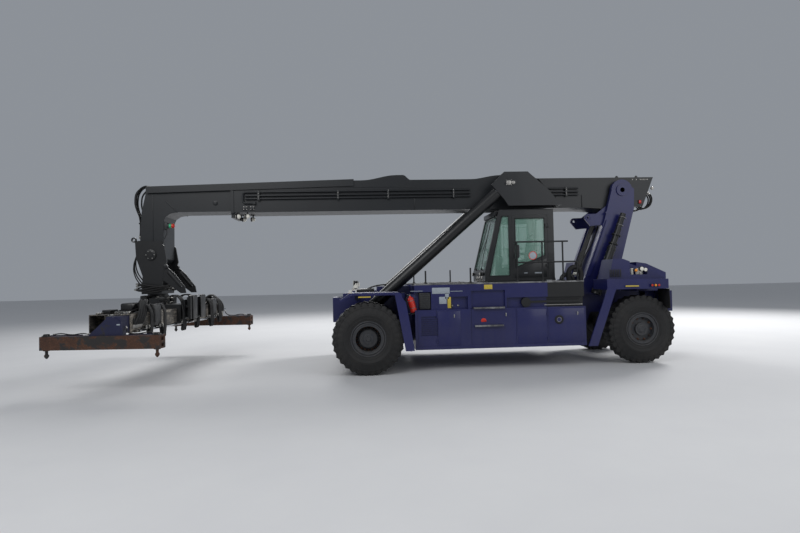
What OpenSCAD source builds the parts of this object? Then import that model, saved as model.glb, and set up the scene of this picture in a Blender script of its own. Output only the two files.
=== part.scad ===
// Reach stacker for shipping containers, in millimetres.
// +X is the way it drives, +Y its left side, +Z up. The origin is on the floor, at the middle of its box.

/* [Chassis] */
// Distance from the drive axle to the steer axle
wheelbase = 6500; // [6300:50:6900]
// Distance between the middles of the two pairs of twin drive wheels
drive_track = 3030; // [2980:10:3100]
// Distance between the middles of the two steered wheels
steer_track = 2600; // [2560:10:2700]
// Distance from a steered wheel's middle inwards to its kingpin
kingpin_inset = 180; // [160:5:200]
// Height of the deck over the floor
deck_z = 2000; // [1980:10:2060]
// Underside of the frame between the axles
frame_bottom_z = 600; // [520:10:650]
// Outer faces of the lower side boxes, from the middle
side_box_y = 1650; // [1580:10:1700]

/* [Tyres] */
// Outer diameter of every tyre, as it rolls on the tips of its lugs
tyre_d = 1620; // [1580:10:1660]
// Width of every tyre
tyre_w = 490; // [440:5:500]
// Diameter of the rim's bead seat
rim_d = 660; // [620:10:700]
// Distance between the middles of two twin tyres
twin_pitch = 590; // [570:5:610]
// Depth of the tread lugs
lug_h = 38; // [20:2:50]
// Number of lugs along each shoulder of a tyre
lug_count = 32; // [28:1:32]

/* [Boom] */
// Underside of the lowered outer boom
boom_bottom_z = 3855; // [3845:5:3900]
// Height of the outer boom's section
boom_h = 765; // [740:5:790]
// How much lower the outer boom's top is at its front end
boom_nose_drop = 60; // [50:5:70]
// Height of the inner boom's section
inner_boom_h = 620; // [600:5:625]
// Width of the outer boom's section
boom_w = 860; // [800:10:880]
// Wall of the boom's sections
boom_wall = 20; // [14:1:26]
// Slide gap all round between the two sections
slide_gap = 15; // [10:1:20]
// How far the outer boom reaches in front of the drive axle
outer_boom_front = 3300; // [3200:20:3400]
// Boom pivot behind the drive axle
pivot_back = 6540; // [6480:10:6600]
// Height of the boom pivot
pivot_z = 4270; // [4240:10:4300]
// Diameter of the pins that carry the boom and its cylinders
pin_d = 140; // [120:5:160]
// Radial clearance of a pin in its bore
pin_clearance = 0.3; // [0.2:0.1:1]
// How far the inner boom's head reaches in front of the drive axle
head_front = 5480; // [5440:10:5540]

/* [Lift cylinders] */
// Gap between a lift cylinder and the tyre beside it
cylinder_gap = 80; // [60:5:85]
// Outer diameter of the barrel
barrel_d = 290; // [240:10:300]
// Diameter of the rod
rod_d = 170; // [140:5:190]
// Width of the eyes at both ends
eye_w = 180; // [150:5:190]

/* [Cab] */
// Outer width of the cab
cab_w = 1500; // [1440:10:1560]
// Height of the cab over the deck
cab_h = 1780; // [1740:10:1800]
// Length of the cab at its floor
cab_l = 1760; // [1700:10:1800]
// Walls and doors of the cab, outside to inside
cab_wall = 50; // [40:5:60]

/* [Spreader] */
// Angle at which the spreader stands to the machine
spreader_turn = -6; // [-8:1:8]
// Length over the corners of the container that it lifts
container_l = 6058; // [6000:10:6100]
// Width over the corners of the container that it lifts
container_w = 2438; // [2400:10:2460]
// Slew centre and head pin in front of the drive axle
slew_x = 5250; // [5230:10:5260]
// Middle of the spreader in front of the drive axle
spreader_x = 5000; // [4950:10:5050]
// Top face of the end beams
end_beam_z = 1130; // [1100:10:1160]
// Height of the end beams
end_beam_h = 270; // [240:10:300]
// Width of the end beams
end_beam_w = 250; // [220:10:280]
// Diameter of a twistlock's shank
twistlock_d = 56; // [50:1:62]

/* [Hidden] */
$fn = 48;

tyre_r = tyre_d / 2;
tyre_in_y = drive_track / 2 - twin_pitch / 2 - tyre_w / 2;
tyre_out_y = drive_track / 2 + twin_pitch / 2 + tyre_w / 2;
cylinder_y = tyre_in_y - cylinder_gap - barrel_d / 2;
rim_r = rim_d / 2;
boom_top_z = boom_bottom_z + boom_h;
counterweight_back = wheelbase + 950;
spreader_reach = spreader_x + container_w / 2 * cos(spreader_turn) + container_l / 2 * abs(sin(spreader_turn));
// The drive axle's place in the model, which puts the origin at the middle of the box
axle_x = (counterweight_back - spreader_reach) / 2;

// A side view outline, given as [x from the drive axle, z], extruded from y1 to y2
module side_slab(y1, y2) {
    translate([axle_x, y2, 0]) rotate([90, 0, 0]) linear_extrude(y2 - y1) children();
}

// A box between two corners, with x from the drive axle
module block(low, high) {
    translate([axle_x + low[0], low[1], low[2]]) cube(high - low);
}

// A cylinder along Y between y1 and y2, with x from the drive axle
module cross_cylinder(x, z, r, y1, y2) {
    translate([axle_x + x, y2, z]) rotate([90, 0, 0]) cylinder(r = r, h = y2 - y1);
}

module both_sides() {
    children();
    mirror([0, 1, 0]) children();
}

module on_side(side) {
    mirror([0, side > 0 ? 0 : 1, 0]) children();
}

// Frame

foot_clearance = 5;
foot_boss_l = 95;
frame_y = cylinder_y - eye_w / 2 - foot_clearance - foot_boss_l;
frame_plate = 140;
frame_top_z = 1700;
rear_frame_y = 400;
rear_frame_plate = 120;
tower_y1 = 470;
tower_y2 = 590;
cylinder_foot = [100, 1300];
foot_boss_r = 110;
engine_bottom_z = 760;
fender_bottom_z = 1790;
fender_y1 = tyre_in_y - 15;

module frame_outline() {
    polygon([[850, 1100], [850, frame_top_z], [-5300, frame_top_z], [-5300, frame_bottom_z],
             [-1000, frame_bottom_z], [-760, 1100]]);
}

module rear_frame_outline() {
    polygon([[-5200, frame_bottom_z], [-5200, frame_top_z], [-wheelbase - 500, frame_top_z], [-wheelbase - 500, 1180],
             [-5700, 1180], [-5450, frame_bottom_z]]);
}

module frame() {
    eye_in = cylinder_y - eye_w / 2 - foot_clearance;
    eye_out = cylinder_y + eye_w / 2 + foot_clearance;
    color("midnightblue") {
        both_sides() {
            side_slab(frame_y - frame_plate, frame_y) frame_outline();
            side_slab(rear_frame_y - rear_frame_plate, rear_frame_y) rear_frame_outline();
            block([-5300, rear_frame_y - rear_frame_plate, frame_bottom_z], [-5200, frame_y, frame_top_z]);
            block([-6500, rear_frame_y, frame_top_z - 60], [-5200, tower_y2, frame_top_z]);
            cross_cylinder(cylinder_foot[0], cylinder_foot[1], foot_boss_r, frame_y - 1, eye_in);
            cross_cylinder(cylinder_foot[0], cylinder_foot[1], pin_d / 2, frame_y, eye_out);
            cross_cylinder(cylinder_foot[0], cylinder_foot[1], 105, eye_out, eye_out + 25);
            for (x = [200, -900]) block([x, frame_y, frame_top_z - 50], [x + 100, fender_y1 + 10, fender_bottom_z]);
        }
        block([750, -frame_y, 1100], [850, frame_y, frame_top_z]);
        block([-1060, -frame_y + 20, frame_top_z - 40], [-250, frame_y - 20, 1950]);
        block([-251, -frame_y + 20, frame_top_z - 40], [600, frame_y - 20, 1800]);
        block([-1200, -frame_y, 700], [-1080, frame_y, frame_top_z - 100]);
        for (x = [-5000, -3500]) block([x, -frame_y, engine_bottom_z - 60], [x + 100, frame_y, engine_bottom_z]);
        block([-wheelbase - 400, -rear_frame_y, 1300], [-wheelbase - 100, rear_frame_y, frame_top_z]);
    }
}

weight_clearance = 350;

tow_shelf_z = [800, 950];
tow_pin_d = 50;
tow_inset = 70;

module counterweight() {
    color("midnightblue") {
        difference() {
            block([-counterweight_back, -500, tow_shelf_z[0]], [-counterweight_back + weight_clearance, 500, frame_top_z]);
            block([-counterweight_back - 1, -120, tow_shelf_z[1]], [-counterweight_back + 180, 120, tow_shelf_z[1] + 250]);
            translate([axle_x - counterweight_back + tow_inset, 0, 0]) cylinder(r = tow_pin_d / 2 + pin_clearance, h = tow_shelf_z[1] + 1);
        }
        block([-counterweight_back, -1150, 1200], [-counterweight_back + 110, 1150, frame_top_z]);
        block([-counterweight_back, -900, frame_top_z], [-wheelbase - 200, 900, 2150]);
        side_slab(-900, 900)
            polygon([[-counterweight_back, 2149], [-wheelbase - 200, 2149], [-wheelbase - 200, 2420], [-wheelbase - 450, 2380]]);
    }
}

// Boom tower

rear_fender_y1 = 905;

module tower_outline() {
    polygon([[-5300, frame_top_z], [-5520, 2090], [-6060, 3500], [-6270, 4270], [-6540, 4520], [-6860, 4300],
             [-6840, 3800], [-6480, 2500], [-6400, frame_top_z]]);
    translate([-pivot_back, pivot_z]) circle(r = 270);
}

lifting_eye = [-5662, 3586];
lifting_bore_d = 60;
eye_plate = 40;

module boom_tower() {
    color("midnightblue") {
        both_sides() {
            side_slab(tower_y1, tower_y2) tower_outline();
            difference() {
                side_slab(tower_y1, tower_y1 + eye_plate) {
                    polygon([[-6150, 3880], [-5880, 3680], [-5662, 3676], [-5600, 3520], [-5720, 3370], [-6100, 3400]]);
                    translate(lifting_eye) circle(r = 90);
                }
                cross_cylinder(lifting_eye[0], lifting_eye[1], lifting_bore_d / 2, tower_y1 - 1, tower_y1 + eye_plate + 1);
            }
            cross_cylinder(-pivot_back, pivot_z, 150, tower_y2, tower_y2 + 30);
            cross_cylinder(-6100, 3690, 28, tower_y2, tower_y2 + 50);
            block([-6200, tower_y2, 1800], [-6100, rear_fender_y1, 1900]);
            // The stiffening rib along the front edge
            side_slab(tower_y2, tower_y2 + 35) polygon([[-5560, 2090], [-6100, 3500], [-6180, 3500], [-5640, 2090]]);
        }
    }
}

// The boom's pivot pin and the leaning plate between the two uprights
module tower_ties() {
    color("midnightblue") {
        cross_cylinder(-pivot_back, pivot_z, pin_d / 2, -tower_y1, tower_y1);
        side_slab(-tower_y1, tower_y1) polygon([[-5560, 2090], [-6050, 3370], [-6090, 3370], [-5600, 2090]]);
    }
}

module engine_block() {
    color("dimgray") block([-5150, -360, engine_bottom_z], [-3200, 360, 1600]);
}

// Axles

spindle_r = 120;
hub_r = 190;
hub_in = drive_track / 2 - twin_pitch / 2 - 200;
hub_out = drive_track / 2 + twin_pitch / 2;

module drive_axle() {
    color("dimgray") {
        cross_cylinder(0, tyre_r, 200, -hub_in + 10, hub_in - 10);
        cross_cylinder(0, tyre_r, 330, -330, 330);
        both_sides() {
            cross_cylinder(0, tyre_r, spindle_r, hub_in - 10, hub_out - 100);
            block([-220, frame_y - frame_plate, tyre_r + 150], [220, frame_y, 1100]);
        }
    }
}

kingpin_y = steer_track / 2 - kingpin_inset;
kingpin_r = 50;
running_fit = 0.05;
ear_h = 60;
axle_half_h = 150;
ear_r = 110;
neck_l = 340;

module steer_axle() {
    color("dimgray") {
        difference() {
            union() {
                block([-wheelbase - 170, -kingpin_y + neck_l, tyre_r - axle_half_h], [-wheelbase + 170, kingpin_y - neck_l, tyre_r + axle_half_h]);
                both_sides() {
                    block([-wheelbase - ear_r, kingpin_y - neck_l, tyre_r - axle_half_h], [-wheelbase + ear_r, kingpin_y - ear_r - 8, tyre_r + axle_half_h]);
                    for (z = [tyre_r - axle_half_h, tyre_r + axle_half_h - ear_h]) {
                        translate([axle_x - wheelbase, kingpin_y, z]) cylinder(r = ear_r, h = ear_h);
                        block([-wheelbase - ear_r, kingpin_y - ear_r - 8, z], [-wheelbase + ear_r, kingpin_y, z + ear_h]);
                    }
                }
            }
            both_sides() translate([axle_x - wheelbase, kingpin_y, 0]) cylinder(r = kingpin_r + running_fit, h = 2000);
        }
        block([-wheelbase - 120, -rear_frame_y, tyre_r + axle_half_h], [-wheelbase + 120, rear_frame_y, 1180]);
    }
}

// Wheels

// A ring of points round a tyre, where every second one lies in a groove between two lugs
function tread_ring(r, across, groove) = [for (k = [0:2 * lug_count - 1])
    let (a = 270 + k * 180 / lug_count, at = r - (k % 2 == 0 ? groove : 0)) [at * cos(a), across, at * sin(a)]];

// The radius of a ring whose flats lie at r
function round_flats(r) = r / cos(180 / lug_count);

// The rings from one bead over the tread to the other, as [radius, across, groove]
bead_r = rim_r / cos(90 / lug_count);
tyre_rings = [[bead_r, -tyre_w / 2 + 60, 0], [rim_r + 200, -tyre_w / 2, 0],
              [round_flats(tyre_r), -tyre_w / 2 + 60, lug_h], [round_flats(tyre_r), 0, lug_h / 2],
              [round_flats(tyre_r), tyre_w / 2 - 60, lug_h], [rim_r + 200, tyre_w / 2, 0],
              [bead_r, tyre_w / 2 - 60, 0]];

module tyre(x, y) {
    n = 2 * lug_count;
    rings = len(tyre_rings);
    points = [for (ring = tyre_rings) each tread_ring(ring[0], ring[1], ring[2])];
    faces = [for (i = [0:rings - 1]) for (k = [0:n - 1])
        let (a = i * n + k, b = i * n + (k + 1) % n, c = (i + 1) % rings * n + (k + 1) % n, d = (i + 1) % rings * n + k)
        each [[a, b, c], [a, c, d]]];
    color("#202224") translate([axle_x + x, y, tyre_r]) polyhedron(points, faces);
}

// The bead ring of a wheel, whose middle is at y
module bead_ring(x, y) {
    translate([axle_x + x, y, tyre_r]) rotate([90, 0, 0]) rotate_extrude($fn = 96)
        polygon([[rim_r - 45, -tyre_w / 2 + 40], [rim_r - 0.3, -tyre_w / 2 + 40], [rim_r - 0.3, tyre_w / 2 - 40],
                 [rim_r - 45, tyre_w / 2 - 40]]);
}

disc_h = 40;

module drive_tyres(side) {
    for (k = [-1, 1]) tyre(0, side * (drive_track / 2 + k * twin_pitch / 2));
}

module drive_rims(side) {
    outer_y = drive_track / 2 + twin_pitch / 2;
    inner_y = drive_track / 2 - twin_pitch / 2;
    color("slategray") on_side(side) difference() {
        union() {
            for (y = [inner_y, outer_y]) {
                bead_ring(0, y);
                cross_cylinder(0, tyre_r, rim_r - 40, y - 60 - disc_h, y - 60);
            }
            cross_cylinder(0, tyre_r, hub_r, hub_in, outer_y + 60);
            cross_cylinder(0, tyre_r, 230, outer_y - 60, outer_y + 30);
            cross_cylinder(0, tyre_r, 120, outer_y + 60, outer_y + 110);
        }
        cross_cylinder(0, tyre_r, spindle_r + running_fit, hub_in - 1, hub_out - 90);
    }
}

knuckle_spindle_r = 75;

module knuckle(side) {
    color("dimgray") on_side(side) {
        translate([axle_x - wheelbase, kingpin_y, tyre_r - axle_half_h + ear_h + 1]) cylinder(r = 105, h = 2 * (axle_half_h - ear_h - 1));
        translate([axle_x - wheelbase, kingpin_y, tyre_r - axle_half_h - 5]) cylinder(r = kingpin_r, h = 2 * axle_half_h + 10);
        cross_cylinder(-wheelbase, tyre_r, knuckle_spindle_r, kingpin_y, steer_track / 2 + 95);
    }
}

module steer_tyre(side) {
    tyre(-wheelbase, side * steer_track / 2);
}

module steer_rim(side) {
    color("slategray") on_side(side) difference() {
        union() {
            bead_ring(-wheelbase, steer_track / 2);
            cross_cylinder(-wheelbase, tyre_r, rim_r - 40, steer_track / 2 + 40, steer_track / 2 + 40 + disc_h);
            cross_cylinder(-wheelbase, tyre_r, 150, steer_track / 2 + 40, steer_track / 2 + 170);
        }
        cross_cylinder(-wheelbase, tyre_r, knuckle_spindle_r + running_fit, steer_track / 2 + 39, steer_track / 2 + 100);
    }
}

// Fenders

fender_y2 = tyre_out_y + 5;
fender_skin = 40;
strut_plate = 35;
rear_fender_y2 = 1700;
rear_fender_bottom_z = 1770;
hood_top = [[-5690, 2000], [-5817, 2487], [-6060, 2487], [-6280, 2400], [-6600, 2275], [-7090, 2000]];

module front_fender_outline() {
    top_z = fender_bottom_z + fender_skin;
    polygon([[620, 1640], [620, 1680], [380, top_z], [-700, top_z], [-760, 1780], [-960, 520],
             [-920, 520], [-725, 1765], [-690, fender_bottom_z], [370, fender_bottom_z]]);
}

module fenders() {
    band_top_z = 2015;
    color("darkblue") both_sides() {
        side_slab(fender_y1, fender_y2) front_fender_outline();
        side_slab(fender_y2 - strut_plate, fender_y2)
            polygon([[-600, fender_bottom_z + 10], [-700, fender_bottom_z + 20], [-850, 1600], [-1025, 525], [-825, 525]]);
        side_slab(rear_fender_y1, rear_fender_y2)
            polygon([[-5590, rear_fender_bottom_z], [-5590, band_top_z], [-7070, band_top_z - 20], [-7070, rear_fender_bottom_z]]);
        difference() {
            side_slab(rear_fender_y1 + 10, rear_fender_y2 - 150) polygon(hood_top);
            // The recess in the hood's corner, where the rear lamps stand
            block([-6640, rear_fender_y2 - 400, 2110], [-6220, rear_fender_y2 - 149, 2500]);
        }
        side_slab(rear_fender_y2 - fender_skin, rear_fender_y2)
            polygon([[-5590, rear_fender_bottom_z + 5], [-5800, rear_fender_bottom_z + 5], [-5330, 470], [-5110, 470]]);
    }
}

// Side boxes

locker_split_z = 1400;
box_front = -1080;
box_back = -5080;

locker_back = -4200;

seam_w = 8;
seam_x = [-1140, -1576, -2380, -3430, -4170];
vent = [-1600, -1215];
vent_z = [810, 1250];
sill_h = 70;

module side_boxes() {
    color("midnightblue") both_sides() {
        difference() {
            block([box_back, frame_y, 520], [box_front, side_box_y, locker_split_z]);
            for (x = seam_x) block([x - seam_w / 2, side_box_y - 12, 580], [x + seam_w / 2, side_box_y + 1, locker_split_z + 1]);
            block([vent[0], side_box_y - 40, vent_z[0]], [vent[1], side_box_y + 1, vent_z[1]]);
            cross_cylinder(-4448, 1110, 62, side_box_y - 30, side_box_y + 1);
        }
        // Slats of the vent
        for (z = [vent_z[0] + 30:44:vent_z[1] - 30])
            block([vent[0] - 1, side_box_y - 41, z], [vent[1] + 1, side_box_y - 10, z + 16]);
        cross_cylinder(-4448, 1110, 110, side_box_y - 1, side_box_y + 14);
        cross_cylinder(-4448, 1110, 40, side_box_y - 31, side_box_y + 4);
        block([box_back, frame_y + 30, 490], [box_front, side_box_y + 12, 490 + sill_h]);
    }
}

locker_y = side_box_y - 50;
step_x = [-3190, -2400];

module lockers() {
    color("darkblue") both_sides() difference() {
        block([locker_back, frame_y, locker_split_z], [box_front, locker_y, deck_z - 30]);
        // The step recess, the dark niche with its latches, and the niche behind the front strut
        block([step_x[0], locker_y - 60, locker_split_z - 1], [step_x[1], locker_y + 1, 1815]);
        block([-2315, locker_y - 90, locker_split_z - 1], [-1905, locker_y + 1, 1690]);
        block([-1460, locker_y - 120, locker_split_z - 1], [box_front + 1, locker_y + 1, 1810]);
        block([-4201, locker_y - 100, locker_split_z - 1], [-3230, locker_y + 1, 1640]);
    }
}

duct_r = 52;
duct_bend = 150;

module engine_covers() {
    cover_y = side_box_y - 80;
    color("#2a2a2a") both_sides() {
        difference() {
            block([box_back, tower_y2 + 20, locker_split_z], [locker_back, cover_y, deck_z - 30]);
            block([box_back - 1, cover_y - 90, locker_split_z - 1], [locker_back + 1, cover_y + 1, 1630]);
        }
        // The round breather and its pipe in the dark strip under the lockers
        cross_cylinder(-3692, 1520, 112, locker_y - 99.7, locker_y - 20);
        block([-5000, cover_y - 91, 1500], [locker_back - 20, locker_y - 60, 1550]);
        block([locker_back - 21, locker_y - 99.7, 1500], [-3692, locker_y - 60, 1550]);
    }
    // The air duct that loops out of the deck behind the cab
    color("#151515") both_sides() translate([axle_x - 5000, 720, deck_z + 0.3]) {
        rotate([90, 0, 0]) rotate_extrude(angle = 180) translate([duct_bend, 0]) circle(r = duct_r);
        translate([-duct_bend, 0, -300]) cylinder(r = duct_r, h = 301);
    }
}

// The deck plate, with its posts on the frame and the step treads on the boxes under it
tread_z = [990, locker_split_z + 0.3];

module deck() {
    plate_z = deck_z - 30;
    color("#333338") {
        block([box_back, -side_box_y + 50, plate_z], [-1300, side_box_y - 50, deck_z]);
        both_sides() block([-1301, fender_y1, plate_z], [box_front, side_box_y - 50, deck_z]);
        both_sides() for (x = [-4700, -2950]) block([x, frame_y - 60, frame_top_z], [x + 100, frame_y, plate_z]);
        // Step treads, on the side box's top and on its face
        both_sides() {
            block([-3150, side_box_y - 45, tread_z[1]], [-2430, side_box_y + 75, tread_z[1] + 35]);
            block([-3120, side_box_y, tread_z[0]], [-2450, side_box_y + 75, tread_z[0] + 35]);
        }
    }
}

module rail(x, y, z1, z2) {
    translate([axle_x + x, y, z1]) cylinder(r = 19, h = z2 - z1, $fn = 24);
}

rail_r = 19;

// A rail along X between two places
module long_rail(x1, x2, y, z) {
    translate([axle_x + x1, y, z]) rotate([0, 90, 0]) cylinder(r = rail_r, h = x2 - x1, $fn = 24);
}

module handrails() {
    rail_y = side_box_y - 90;
    top_z = deck_z + 930;
    mid_z = deck_z + 450;
    color("#262626") both_sides() {
        for (x = [-3510, -4110, -4600]) rail(x, rail_y, deck_z, top_z);
        long_rail(-4730, -3440, rail_y, top_z);
        long_rail(-4960, -3510, rail_y, mid_z);
        rail(-4940, rail_y, deck_z, mid_z + rail_r);
        rail(-2400, rail_y, deck_z, deck_z + 350);
        rail(-1350, rail_y, deck_z, deck_z + 300);
    }
}

exhaust_r = 100;

module exhaust() {
    lean = atan2(900, 2300);
    color("#1d1d1d") translate([axle_x - 5695, tower_y2 + 80 + exhaust_r, 1640]) rotate([0, -lean, 0]) {
        cylinder(r = exhaust_r, h = 1280);
        cylinder(r = exhaust_r + 25, h = 130);
        translate([0, 0, 1279]) cylinder(r = exhaust_r - 25, h = 480);
        for (z = [1180, 1330, 1560]) translate([0, 0, z]) cylinder(r = exhaust_r + 14, h = 30);
        for (z = [300, 1230]) translate([-50, -exhaust_r - 80, z]) cube([100, exhaust_r + 80, 50]);
    }
}

// Cab

cab_front = -2920;
cab_floor_z = deck_z + 20;
cab_top_z = deck_z + cab_h;
windscreen_lean = 380;
door_gap = 5;
hinge_y = cab_w / 2 + 25;
hinge_z = [2350, 3350];
hinge_h = 90;
hinge_pin_r = 8;
door_x1 = -4520;
door_x2 = -3620;

sill_z = cab_floor_z + 250;

function windscreen_x(z) = cab_front - windscreen_lean * max(0, z - sill_z) / (cab_top_z - sill_z);

// The side outline of the cab, moved in by a wall on every side
function cab_points(wall) = [
    [cab_front - wall, cab_floor_z + wall], [cab_front - wall, sill_z], [windscreen_x(cab_top_z - wall) - wall, cab_top_z - wall],
    [cab_front - cab_l + wall, cab_top_z - wall], [cab_front - cab_l + wall, cab_floor_z + wall]];

window_bottom_z = cab_floor_z + 300;
window_top_z = cab_top_z - 150;

// The fixed window between the door and the windscreen's pillar
function quarter_points(gap) = [
    [-3540 + gap, cab_floor_z + 130 + gap], [windscreen_x(cab_floor_z + 130) - 110 - gap, cab_floor_z + 130 + gap],
    [windscreen_x(window_top_z) - 110 - gap, window_top_z - gap], [-3540 + gap, window_top_z - gap]];

module windscreen_slab(low, high, half_w, front, back) {
    side_slab(-half_w, half_w) polygon([[windscreen_x(low) + front, low], [windscreen_x(high) + front, high],
                                        [windscreen_x(high) + back, high], [windscreen_x(low) + back, low]]);
}

module cab_shell() {
    inside = cab_w / 2 - cab_wall;
    color("#3c4243") {
        difference() {
            side_slab(-cab_w / 2, cab_w / 2) polygon(cab_points(0));
            side_slab(-inside, inside) polygon(cab_points(cab_wall));
            both_sides() block([door_x1, inside - door_gap - 1, cab_floor_z + 40], [door_x2, cab_w / 2 + 1, window_top_z + 20]);
            both_sides() side_slab(inside - 1, cab_w / 2 + 1) polygon(quarter_points(0));
            windscreen_slab(window_bottom_z, window_top_z, cab_w / 2 - 90, 20, -120);
            block([cab_front - cab_l - 1, -cab_w / 2 + 120, cab_floor_z + 700], [cab_front - cab_l + 100, cab_w / 2 - 120, window_top_z]);
        }
        both_sides() {
            block([-4500, cab_w / 2 - 200, deck_z], [-3000, cab_w / 2 - 100, cab_floor_z]);
            for (z = hinge_z) {
                translate([axle_x + door_x1, hinge_y, z]) cylinder(r = hinge_pin_r, h = hinge_h);
                block([door_x1 - 60, cab_w / 2, z - 20], [door_x1 + hinge_pin_r, hinge_y + hinge_pin_r, z]);
            }
        }
    }
}

glass_gap = 0.3;
glass_t = 8;

module cab_glass() {
    side_out = cab_w / 2 - 22;
    color("#8fd6c8", 0.4) {
        windscreen_slab(window_bottom_z + glass_gap, window_top_z - glass_gap, cab_w / 2 - 90 - glass_gap, -20, -20 - glass_t);
        both_sides() side_slab(side_out - glass_t, side_out) polygon(quarter_points(glass_gap));
        block([cab_front - cab_l + 20, -cab_w / 2 + 120 + glass_gap, cab_floor_z + 700 + glass_gap],
              [cab_front - cab_l + 20 + glass_t, cab_w / 2 - 120 - glass_gap, window_top_z - glass_gap]);
    }
}

inner_floor_z = cab_floor_z + cab_wall;

module operator_seat() {
    seat_z = inner_floor_z + 350;
    color("#2b2b2e") {
        block([-4150, -200, inner_floor_z], [-3850, 200, seat_z]);
        block([-4260, -260, seat_z], [-3740, 260, seat_z + 120]);
        side_slab(-250, 250) polygon([[-4260, seat_z + 120], [-4140, seat_z + 120], [-4240, seat_z + 830], [-4340, seat_z + 830]]);
    }
}

module cab_console() {
    color("#303236") {
        block([-3150, -500, inner_floor_z], [-3050, 500, inner_floor_z + 200]);
        side_slab(-30, 30) polygon([[-3150, inner_floor_z], [-3230, inner_floor_z], [-3400, inner_floor_z + 650], [-3320, inner_floor_z + 650]]);
        translate([axle_x - 3370, 0, inner_floor_z + 660]) rotate([0, -30, 0]) {
            rotate_extrude() translate([180, 0]) circle(r = 15);
            translate([-180, -15, -8]) cube([360, 30, 16]);
        }
    }
}

// The door's window, whose lower edge rises to the rear
function door_window(gap) = [
    [door_x1 + 80 + gap, cab_floor_z + 620 + gap], [door_x2 - 80 - gap, cab_floor_z + 330 + gap],
    [door_x2 - 80 - gap, window_top_z - 60 - gap], [door_x1 + 80 + gap, window_top_z - 60 - gap]];

module door(side) {
    inside = cab_w / 2 - cab_wall;
    color("#34393a") on_side(side) difference() {
        union() {
            block([door_x1 + door_gap, inside, cab_floor_z + 40 + door_gap], [door_x2 - door_gap, cab_w / 2, window_top_z + 20 - door_gap]);
            for (z = hinge_z) {
                translate([axle_x + door_x1, hinge_y, z + pad_gap]) cylinder(r = 16, h = hinge_h - 20);
                block([door_x1, cab_w / 2 - 10, z + pad_gap], [door_x1 + 60, hinge_y + 5, z + hinge_h - 20]);
            }
        }
        side_slab(inside - 1, cab_w / 2 + 1) polygon(door_window(0));
        translate([axle_x + door_x1, hinge_y, 0]) cylinder(r = hinge_pin_r + running_fit, h = cab_top_z);
        block([door_x1 - 20, cab_w / 2 - 11, 0], [door_x1 + door_gap, cab_w / 2 + 3, cab_top_z]);
    }
}

module door_glass(side) {
    color("#8fd6c8", 0.4) on_side(side) side_slab(cab_w / 2 - 22 - glass_t, cab_w / 2 - 22) polygon(door_window(glass_gap));
}

module lamps() {
    color("gold") both_sides() {
        // Rear lamps in the hood's recess, a work lamp and a marker on the front fender
        for (x = [-6560, -6470, -6330]) translate([axle_x + x, rear_fender_y2 - 300, 2110.3]) cylinder(r = 38, h = 150);
        translate([axle_x + 260, 1550, fender_bottom_z + fender_skin + 0.3]) {
            cylinder(r = 16, h = 150);
            translate([0, 0, 110]) cylinder(r = 60, h = 110);
        }
        block([350, fender_y2 - 300, fender_bottom_z + fender_skin + 0.3], [420, fender_y2 - 180, fender_bottom_z + fender_skin + 70]);
    }
}

// Boom

// The humps on the boom's top, as [rear foot, rear top, front top, front foot, height]
humps = [[-1150, -960, -790, 80, 125], [-4420, -4020, -3430, -2680, 95]];
hump_steps = 6;
taper_x = 600;
roof_t = 40;
roof_step_x = 1400;
pad_l = 200;
pad_gap = 0.3;
eye_at = [-3580, 4470];
eye_r = 160;

// One flank of a hump, a smooth rise from its foot at x1 to its top at x2
function flank(x1, x2, h) = [for (k = [0:hump_steps])
    [x1 + (x2 - x1) * k / hump_steps, boom_top_z + h * (1 - cos(180 * k / hump_steps)) / 2]];

function backwards(points) = [for (k = [len(points) - 1:-1:0]) points[k]];

module outer_boom() {
    inside = boom_w / 2 - boom_wall;
    eye_in = cylinder_y - eye_w / 2 - foot_clearance;
    nose_z = boom_top_z - boom_nose_drop;
    floor_z = boom_bottom_z + boom_wall;
    color("#34383a") {
        difference() {
            union() {
                side_slab(-boom_w / 2, boom_w / 2)
                    polygon([[outer_boom_front, boom_bottom_z], [outer_boom_front, nose_z], [taper_x, boom_top_z],
                             [-7450, boom_top_z], [-7160, boom_bottom_z + 35], [-6930, boom_bottom_z],
                             [-6400, boom_bottom_z - 60], [-5600, boom_bottom_z]]);
                for (h = humps) side_slab(-boom_w / 2, boom_w / 2)
                    polygon(concat([[h[0], boom_top_z - 30]], flank(h[0], h[1], h[4]), backwards(flank(h[3], h[2], h[4])),
                                   [[h[3], boom_top_z - 30]]));
                // The lip under the front end and the flange round it
                block([outer_boom_front - 80, -boom_w / 2 + 30, boom_bottom_z - 125],
                      [outer_boom_front + 10, boom_w / 2 - 30, boom_bottom_z + 10]);
                block([outer_boom_front - 60, -boom_w / 2 - 20, boom_bottom_z - 20], [outer_boom_front + 12, boom_w / 2 + 20, nose_z - 140]);
                both_sides() {
                    cross_cylinder(-pivot_back, pivot_z, 190, boom_w / 2 - 1, tower_y1 - foot_clearance);
                    cross_cylinder(eye_at[0], eye_at[1], 150, boom_w / 2 - 1, eye_in);
                }
            }
            side_slab(-inside, inside) polygon([[-5900, floor_z], [outer_boom_front + 20, floor_z],
                [outer_boom_front + 20, nose_z - boom_wall], [roof_step_x, boom_top_z - roof_t], [-5900, boom_top_z - roof_t]]);
            cross_cylinder(-pivot_back, pivot_z, pin_d / 2 + running_fit, -boom_w, boom_w);
        }
        for (y = [-300, 180]) {
            block([outer_boom_front - pad_l, y, floor_z - 2], [outer_boom_front - 10, y + 120, inner_bottom_z - pad_gap]);
            block([outer_boom_front - pad_l, y, inner_top_z + pad_gap], [outer_boom_front - 10, y + 120, nose_z - 10]);
        }
    }
}

bracket_gap = 15;
bracket_t = 30;
bracket_top = 20;

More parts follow.
